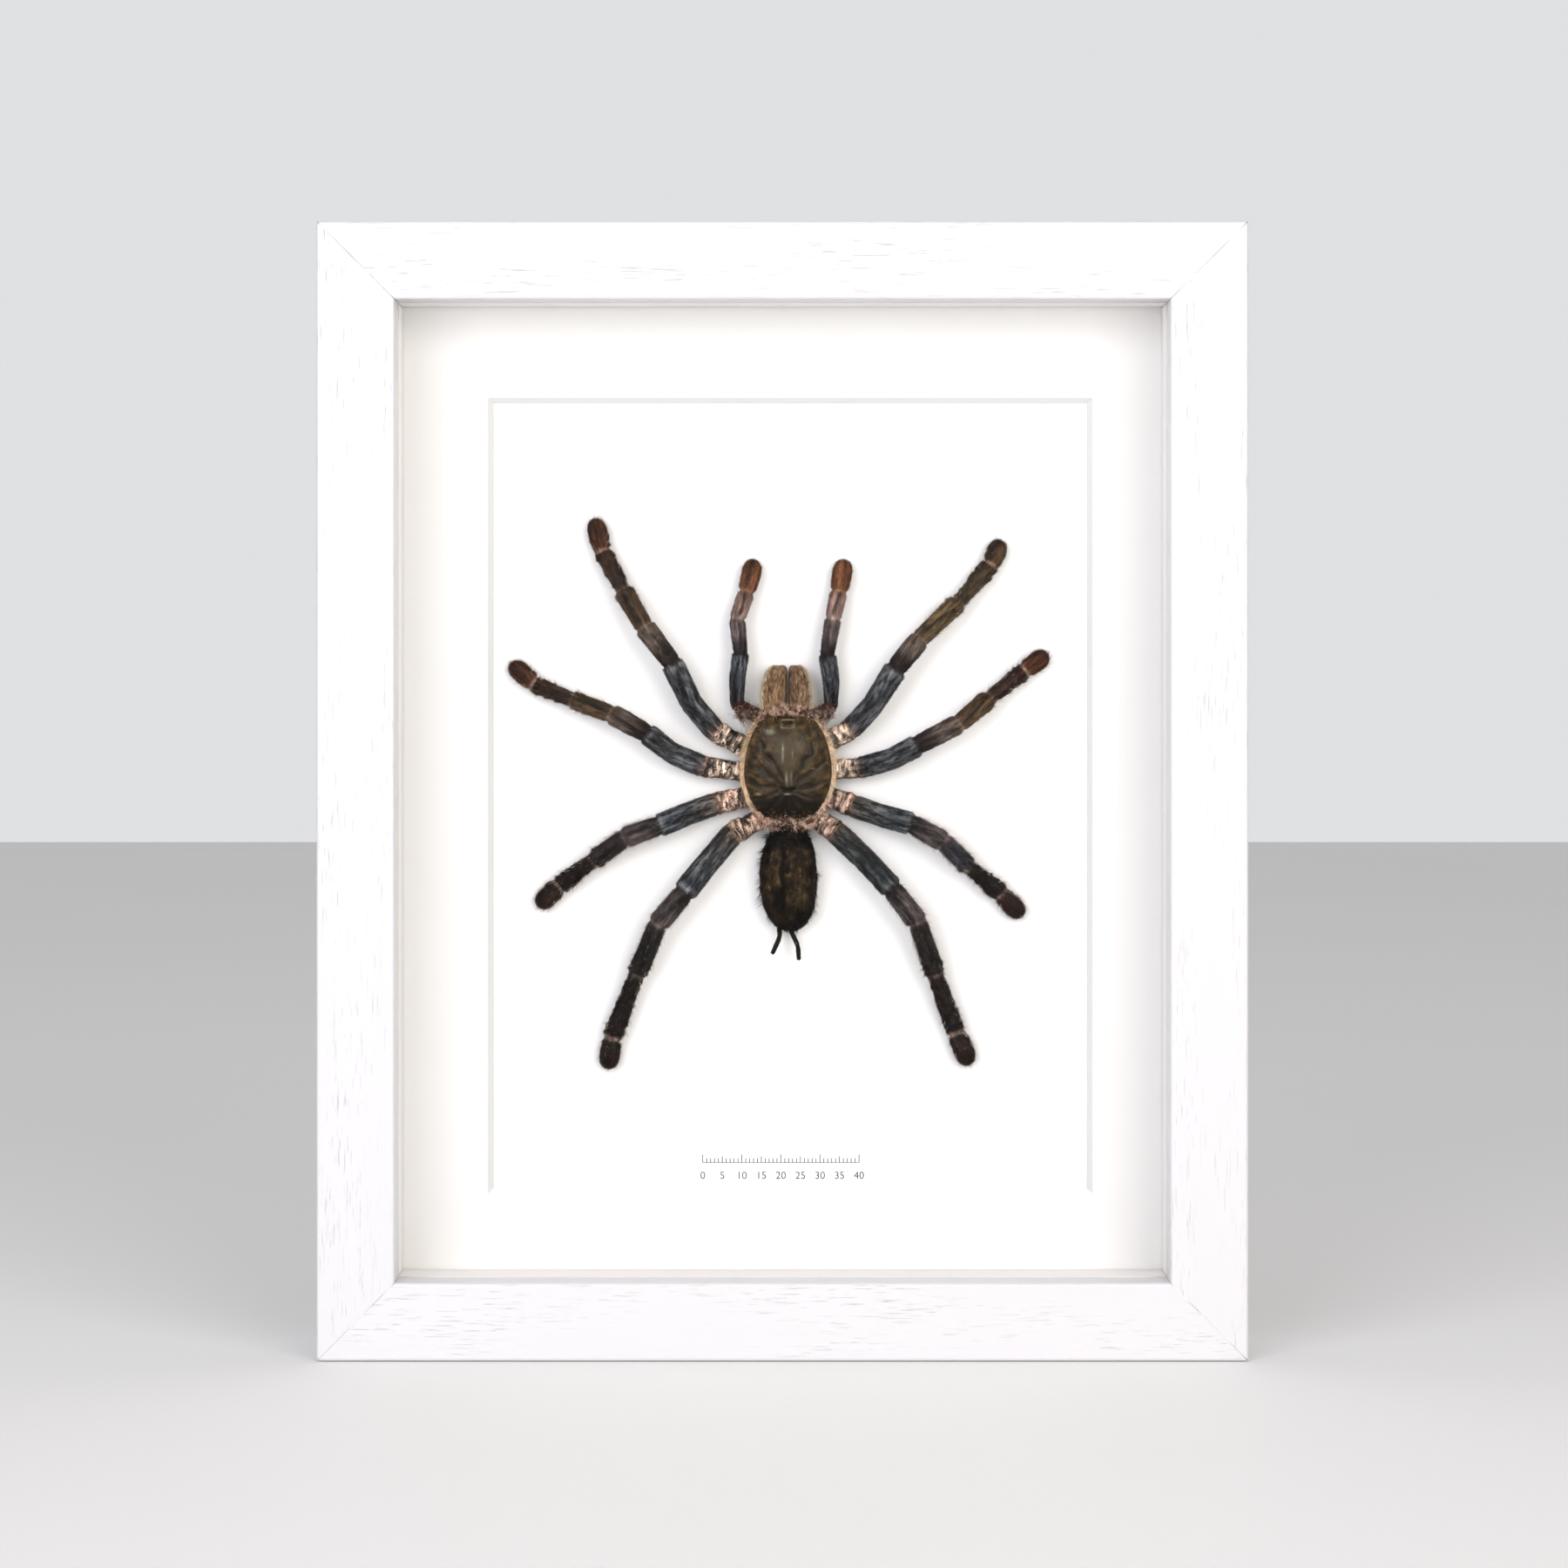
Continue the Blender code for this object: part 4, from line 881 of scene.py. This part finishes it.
def limb_rings(joints, lifts, widths, seed):
    """A limb's skin: flattened rings carried along a path that is eased at each joint. Each segment
    flares by its two widths and is pinched at its ends, and its tip is round. The radius is
    scaled by furrows that run lengthwise, by a dimple along the top, and on the coxa by cross
    folds. Returns the rings, how far each has got in joints, the height of the folds, places that
    flow along the limb, and the crown: 1 on top, 0 at the sides and -1 underneath."""
    joints, widths = np.array(joints), np.array(widths)
    bends = np.column_stack([joints[:, 0], -np.array(lifts), joints[:, 1]])
    stations = np.concatenate([[0], np.cumsum(np.linalg.norm(np.diff(bends, axis=0), axis=1))])
    nose = 0.75 * widths[-1, 1]
    start = stations[-1] - nose
    along = np.concatenate([np.linspace(0, start, 240), start + nose * np.sin(np.linspace(0.1, 1.5, 12))])
    path = eased(along, stations, bends, 1.2)
    tangent = np.gradient(path, along, axis=0)
    tangent /= np.linalg.norm(tangent, axis=1)[:, None]
    sideways = np.cross(tangent, (0, -1, 0))
    sideways /= np.linalg.norm(sideways, axis=1)[:, None]
    off_card = np.cross(sideways, tangent)

    edges = np.repeat(stations, 2)[1:-1] + np.tile([0.001, -0.001], len(widths))
    half = eased(along, edges, widths.reshape(-1, 1) / 2, 0.7)
    for joint in (1, *range(3, len(stations) - 1)):
        half[:, 0] *= 1 - (0.05 if joint == 1 else 0.15) * np.exp(-((along - stations[joint]) / 0.55) ** 2)
    half[:, 0] *= np.sqrt(np.clip(1 - (np.clip(along - start, 0, None) / nose) ** 2, 0.001, 1))
    half[:, 0] *= np.clip(along / 1.5, 0.02, 1) ** 0.5
    reached = np.interp(along, stations, np.arange(len(stations)))[:, None]
    last = len(widths) - 1
    pad = 0.08 * np.sin(math.pi * np.clip(reached - last, 0, 0.9))
    half *= 1 + pad - 0.10 * np.exp(-((reached - last) / 0.12) ** 2)
    turn = np.linspace(0, FULL_TURN, 40, endpoint=False)
    flow = stacked(0.16 * along[:, None], 1.7 * np.cos(turn), 1.7 * np.sin(turn))
    furrows = lumps(flow + seed, seed) + 0.6 * lumps(flow * (1.6, 2.1, 2.1) + seed, seed + 1)
    cross = lumps(flow * (5, 0.35, 0.35) + seed, seed + 2) * (reached < 1)
    share = reached % 1
    inside = np.where((reached > 1) & (reached < 3), (reached - 1) / 2, share)
    inside = np.clip(5 * np.minimum(inside, 1 - inside), 0, 1) * ((reached > 1) & (reached < 5))
    wander = 0.30 * np.sin(0.22 * along[:, None] + seed)
    dimple = np.exp(-((np.cos(turn) - wander) / 0.24) ** 2) * (np.sin(turn) > 0) * inside
    hollow = np.exp(-((np.cos(turn) - wander) / 0.30) ** 2) * (np.sin(turn) > 0) * np.clip(3 * (reached - last), 0, 1)
    ragged = lumps(flow * (7, 1.4, 1.4) + seed, seed + 3) * (last > 5)
    ragged = ragged * np.clip(3 - 3 * abs(reached - last + 0.5), 0, 1)
    folds = 0.8 * furrows + 1.8 * cross + 0.7 * ragged - 1.5 * dimple - 0.8 * hollow
    swell = half * (1 + 0.065 * (folds + 1.9 * ragged))
    rings = path[:, None] + (swell * np.cos(turn))[..., None] * sideways[:, None]
    rings += (LIMB_FLATNESS * swell * np.sin(turn))[..., None] * off_card[:, None]
    stretch, swirl = np.where(reached < 1, 1.5, 0.36) * along[:, None], np.where(reached < 1, 1.0, 4.0)
    flow = stacked(stretch, swirl * np.cos(turn), swirl * np.sin(turn)) + seed
    return rings, np.broadcast_to(reached, folds.shape), folds, flow, np.broadcast_to(np.sin(turn), folds.shape)


def limb_coat(name, colours, calm=0.5):
    """Skin and down share one finish. Its colour goes by how many joints from the hip a point is,
    broken by dark lengthwise streaks, pale flecks that are painted highlights, a tone for each hair, painted
    shade in the folds and towards the sides and painted light on top. Beyond the femur the streaks are no darker than
    calm."""
    material, tree, shader = finish(name, roughness=0.5, specular_ior_level=0.1)
    last = max(colours)
    far = node(tree, "Math", {0: read(tree, "reached"), 1: last}, operation="DIVIDE")
    base = ramp(tree, far, [(place / last, colours[place]) for place in sorted(colours)])
    flow = read(tree, "flow", "Vector")
    streak = noise(tree, flow, 1.0, 4.0, 0.65)
    darkest = mapped(tree, read(tree, "reached"), 2.9, 3.1, 0.22, calm)
    lightest = mapped(tree, read(tree, "reached"), 2.9, 3.1, 1.75, 2 - calm)
    depth = mapped(tree, streak, 0.42, 0.60, darkest, lightest)
    # Painted light and shade: the top of each limb is lighter and its sides and underside darker.
    crown = mapped(tree, read(tree, "crown"), 0.15, 0.95, 0.62, 1.16)
    broad = noise(tree, flow, 0.42, 1.0)
    band = mapped(tree, broad, 0.42, 0.56, 0.66, 1.1)
    curls = noise(tree, flow, 0.6, 3.0, 0.6, 0.8)
    crease = mapped(tree, curls, 0.44, 0.52, 0.10, 1.2)
    hip = mapped(tree, read(tree, "reached"), 0.98, 1.06, 1.0, 0.0)
    strand = mapped(tree, read(tree, "strand"), low=0.55, high=1.5)
    # Painted shade: darker down in the furrows, the dimple and the folds.
    pit = mapped(tree, read(tree, "folds"), -1.1, 0.2, 0.15)
    streaks = product(tree, depth, band)
    tone = product(tree, streaks, strand)
    tone_with_painted_top_light = product(tree, tone, crown)
    shade = product(tree, tone_with_painted_top_light, pit)
    plain = shaded(tree, base, shade)
    lit = shaded(tree, plain, crease, hip)
    # Painted highlights: small pale flecks.
    glint_noise = noise(tree, flow, 2.6, 2.0)
    glint_dots = mapped(tree, glint_noise, 0.64, 0.76, high=0.5)
    tone_with_painted_glints = mixed(tree, glint_dots, lit, screen(150, 148, 140))
    relief = bump(tree, streak, 0.5, 0.0003)
    gloss = mapped(tree, streak, low=0.34, high=0.62)
    wire(tree, shader, base_color=tone_with_painted_glints, roughness=gloss, normal=relief)
    return material


def limb(name, slot, joints, lifts, widths, seed, coat, count, longest=1.15):
    """One limb: its skin in place of the CAD limb, and the down that lies along it to its tip."""
    rings, reached, folds, flow, crown = limb_rings(joints, lifts, widths, seed)
    still = np.full(reached.shape, 0.5)
    show(skin(f"{name}_skin", rings, coat, reached=reached, folds=folds, flow=flow, strand=still, crown=crown),
         slot, name)
    roots, outward, lengthwise, row, place = roots_on(rings, count, seed)
    chance = np.random.default_rng(seed + 5)
    leans = lengthwise + chance.uniform(0.1, 0.5, (count, 1)) * outward + chance.normal(0, 0.13, (count, 3))
    lengths = chance.uniform(0.48, 1, count) * longest
    lift = np.where(reached[row, place] < 1, folds[row, place] - 0.1, 0.5 * folds[row, place] + 0.2)
    down = hairs(f"{name}_down", roots, leans, lengths, 0.085, coat, reached=reached[row, place], folds=lift,
                 flow=flow[row, place], crown=crown[row, place])
    show(down, slot)
    return rings, reached


wisp_finish, tree, shader = finish("pale_wisps", roughness=0.5, specular_ior_level=0.2)
tone = ramp(tree, read(tree, "strand"), [(0.0, (146, 128, 118)), (0.6, (190, 174, 164)), (1.0, (236, 226, 218))])
wire(tree, shader, base_color=tone)
for number, (name, joints) in enumerate(LEG_JOINTS.items()):
    front = name[4] in "12"
    colours = {**(FRONT_LEG_COLOURS if front else REAR_LEG_COLOURS), **LEG_CHANGES.get(name, {})}
    widths = LEG_STOUTNESS[name[4]] * np.array(LEG_WIDTHS)
    coat = limb_coat(f"{name}_coat", colours)
    rings, reached = limb(name, "leg_hair", joints, LEG_LIFTS, widths, 50 + 10 * number, coat, HAIRS_ON_A_LEG)
    thin = 4.2 if front else 3.0
    outer = rings[reached[:, 0] > thin]
    roots, outward, lengthwise, row, place = roots_on(outer, 900 if front else 2400, 51 + 10 * number)
    beside = abs(outward[:, 1]) < 0.5
    roots, outward, lengthwise = roots[beside], outward[beside], lengthwise[beside]
    chance = np.random.default_rng(52 + 10 * number)
    leans = outward + chance.uniform(0.3, 1.3, (len(roots), 1)) * lengthwise
    wisps = hairs(f"{name}_wisps", roots, leans, chance.uniform(0.7, 1.9, len(roots)), 0.08, wisp_finish, joints=2,
                  bend=0.5 * lengthwise)
    show(wisps, "leg_hair")


# Palps: the two short limbs beside the jaws, made as the legs are but with no metatarsus, and with a
# broad reddish pad at the end.
PALP_JOINTS = {
    "palp_left": [(-6.5, 12.5), (-13.0, 15.5), (-13.0, 22.0), (-12.0, 29.0), (-13.0, 37.5),
                  (-10.5, 44.5), (-8.5, 53.0)],
    "palp_right": [(6.0, 12.5), (11.0, 15.0), (11.0, 22.0), (10.0, 28.5), (11.5, 37.5),
                   (13.0, 44.5), (14.5, 53.0)],
}
PALP_LIFTS = (2.7, 3.6, 5.4, 6.4, 5.6, 3.8, 2.5)
PALP_WIDTHS = ((3.6, 3.4), (3.3, 3.9), (3.9, 4.3), (3.4, 4.0), (3.7, 4.3), (4.3, 4.7))
PALP_COLOURS = {
    0.0: (176, 132, 110), 0.6: (150, 106, 84), 0.95: (96, 62, 48), 1.1: (62, 44, 38), 1.3: (62, 60, 64),
    2.0: (78, 81, 86), 2.8: (104, 108, 115), 2.96: (34, 28, 28), 3.25: (58, 50, 50), 3.5: (112, 98, 98), 3.94: (110, 95, 90),
    4.0: (176, 156, 144), 4.06: (150, 124, 114), 4.6: (162, 132, 122), 4.9: (138, 106, 90), 5.0: (170, 128, 100),
    5.08: (126, 80, 54), 5.6: (136, 87, 58), 6.0: (80, 50, 33),
}
HAIRS_ON_A_PALP = 5500
for number, (name, joints) in enumerate(PALP_JOINTS.items()):
    coat = limb_coat(f"{name}_coat", PALP_COLOURS, 0.68)
    limb(name, "palp_hair", joints, PALP_LIFTS, PALP_WIDTHS, 140 + 10 * number, coat, HAIRS_ON_A_PALP)

SHORT_HAIRS = 900
LONG_HAIRS = 70
base_finish, tree, shader = finish("palp_base_hair", roughness=0.55, specular_ior_level=0.15)
tone = ramp(tree, read(tree, "strand"), [(0.0, (30, 15, 11)), (0.6, (78, 46, 35)), (0.8, (150, 108, 88)),
                                         (1.0, (252, 236, 226))])
wire(tree, shader, base_color=tone)
for side, stretch in (("left", -1), ("right", 0.86)):
    chance = np.random.default_rng(181)
    clump = chance.normal(0, 1, (SHORT_HAIRS, 3)) * (1.3, 0.5, 0.85)
    roots = clump + (10.6, -5.2, 14.2)
    leans = chance.normal(0, 0.5, roots.shape) + (0.5, -0.5, -0.5)
    long_roots = stacked(chance.uniform(11.0, 13.8, LONG_HAIRS), -chance.uniform(3.6, 5.6, LONG_HAIRS),
                         chance.uniform(13.0, 15.2, LONG_HAIRS))
    long_leans = np.array([9.6, -4.4, 9.0]) - long_roots + chance.normal(0, 0.5, long_roots.shape)
    roots, leans = np.vstack([roots, long_roots]), np.vstack([leans, long_leans])
    lengths = np.concatenate([chance.uniform(0.7, 1.8, SHORT_HAIRS), chance.uniform(3.0, 6.0, LONG_HAIRS)])
    mirror = np.array([stretch, 1, 1])
    tuft = hairs(f"palp_base_hair_{side}", roots * mirror, leans * mirror, lengths, 0.13, base_finish, joints=2,
                 bend=0.2 * chance.normal(0, 1, roots.shape))
    show(tuft, "palp_hair")


# Spinnerets: two jointed silk-spinning fingers at the tail, dark and downy.
SPINNERET_JOINTS = {
    "spinneret_left": [(-2.4, -40.6), (-2.0, -43.3), (-4.1, -48.0)],
    "spinneret_right": [(0.3, -41.0), (2.6, -45.9), (2.8, -49.6)],
}
SPINNERET_COLOURS = {0.0: (40, 32, 28), 0.95: (52, 42, 36), 1.02: (26, 20, 18), 1.5: (46, 36, 30), 2.0: (30, 24, 20)}
for number, (name, joints) in enumerate(SPINNERET_JOINTS.items()):
    limb(name, "spinneret_skin", joints, (1.2, 3.7, 5.2), ((1.1, 1.1), (1.1, 0.9)), 160 + 10 * number,
         limb_coat(f"{name}_coat", SPINNERET_COLOURS), 900, 0.6)


# Scale: two faint grey lines printed on the card under the spider, a fine rule four centimetres
# long and its plain numbers, which lie on the card as a film of ink.
SCALE_LEFT = -20.4 * MM
SCALE_LENGTH = 40 * MM
RULE_HEIGHT = 46.6 * MM
TICK_HALF = 0.11 * MM
NUMBER_HEIGHT = 42.4 * MM
INK_THICK = 0.02 * MM
ink, tree, shader = finish("grey_ink", roughness=0.7)
speckle = noise(tree, place_on(tree), 9000.0, 2.0)
tone = ramp(tree, speckle, [(0.3, (30, 30, 32)), (0.7, (56, 56, 58))])
wire(tree, shader, base_color=tone)
card_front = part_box("specimen_card")[0].y
ticks = np.arange(41)
tick_x = SCALE_LEFT + ticks * SCALE_LENGTH / 40
tall = np.where(ticks % 10 == 0, 2.1, np.where(ticks % 5 == 0, 1.6, 1.1)) * MM
lows = np.column_stack([tick_x - TICK_HALF, np.full(ticks.size, RULE_HEIGHT)])
highs = np.column_stack([tick_x + TICK_HALF, RULE_HEIGHT + tall])
lows = np.vstack([lows, (SCALE_LEFT, RULE_HEIGHT - 0.12 * MM)])
highs = np.vstack([highs, (SCALE_LEFT + SCALE_LENGTH, RULE_HEIGHT + 0.02 * MM)])
corner = np.array(list(np.ndindex(2, 2, 2)))
span = np.stack([lows, highs])
depth = card_front - INK_THICK * corner[:, 1]
points = stacked(span[corner[:, 0], :, 0], depth[:, None], span[corner[:, 2], :, 1]).transpose(1, 0, 2)
sides = np.array([(0, 2, 3, 1), (4, 5, 7, 6), (0, 1, 5, 4), (2, 6, 7, 3), (0, 4, 6, 2), (1, 3, 7, 5)])
faces = (8 * np.arange(len(points))[:, None, None] + sides).reshape(-1, 4)
mesh = bpy.data.meshes.new("scale_rule")
mesh.from_pydata(points.reshape(-1, 3), [], faces.tolist())
mesh.materials.append(ink)
show(bpy.data.objects.new("scale_rule", mesh), "card")
for number in range(9):
    digit = bpy.data.curves.new(f"scale_number_{number}", "FONT")
    digit.body = str(5 * number)
    digit.align_x = "CENTER"
    digit.size = 2.7 * MM
    digit.extrude = INK_THICK / 2
    letter = bpy.data.objects.new(f"scale_number_{number}", digit)
    mesh = bpy.data.meshes.new_from_object(letter)
    mesh.name = f"scale_number_{number}"
    points = np.empty(3 * len(mesh.vertices), np.float32)
    mesh.vertices.foreach_get("co", points)
    across, up, thick = points.reshape(-1, 3).T
    x = SCALE_LEFT + number * SCALE_LENGTH / 8 + across
    placed = np.column_stack([x, card_front - INK_THICK / 2 - thick, NUMBER_HEIGHT + up])
    mesh.vertices.foreach_set("co", placed.ravel().astype(np.float32))
    mesh.materials.clear()
    mesh.materials.append(ink)
    bpy.data.objects.remove(letter)
    show(bpy.data.objects.new(f"scale_number_{number}", mesh), "card")


# Back: a sheet of hardboard in the rebate, with the brown pressed face outwards, held by bendable
# tabs of zinc-plated steel and carrying a sawtooth hanger on two rivets.
material, tree, shader = finish("fibreboard", roughness=0.7)
place = place_on(tree)
fibres = noise(tree, place, 850.0, 6.0, 0.7)
tone = ramp(tree, fibres, [(0.30, (104, 74, 48)), (0.5, (142, 106, 72)), (0.7, (176, 140, 102))])
cloud = noise(tree, place, 16.0, 3.0)
stain = mapped(tree, cloud, 0.3, 0.7, 0.84, 1.08)
board = shaded(tree, tone, stain)
relief = bump(tree, fibres, 0.35, 0.0002)
wire(tree, shader, base_color=board, normal=relief)
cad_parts["backboard"].material_slots[0].material = material

material, tree, shader = finish("plated_steel", metallic=1.0, roughness=0.3)
place = place_on(tree)
spangle = node(tree, "TexVoronoi", {"Vector": place, "Scale": 900.0})
plate = mixed(tree, spangle.outputs["Distance"], (0.72, 0.72, 0.70, 1), (0.56, 0.57, 0.58, 1))
brushed = noise(tree, node(tree, "Mapping", {"Vector": place, "Scale": (300, 9000, 9000)}), 1.0, 3.0)
rough = mapped(tree, brushed, low=0.22, high=0.46)
wire(tree, shader, base_color=plate, roughness=rough)
for name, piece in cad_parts.items():
    if name.startswith(("flex_tab", "hanger_rivet", "sawtooth")):
        piece.material_slots[0].material = material
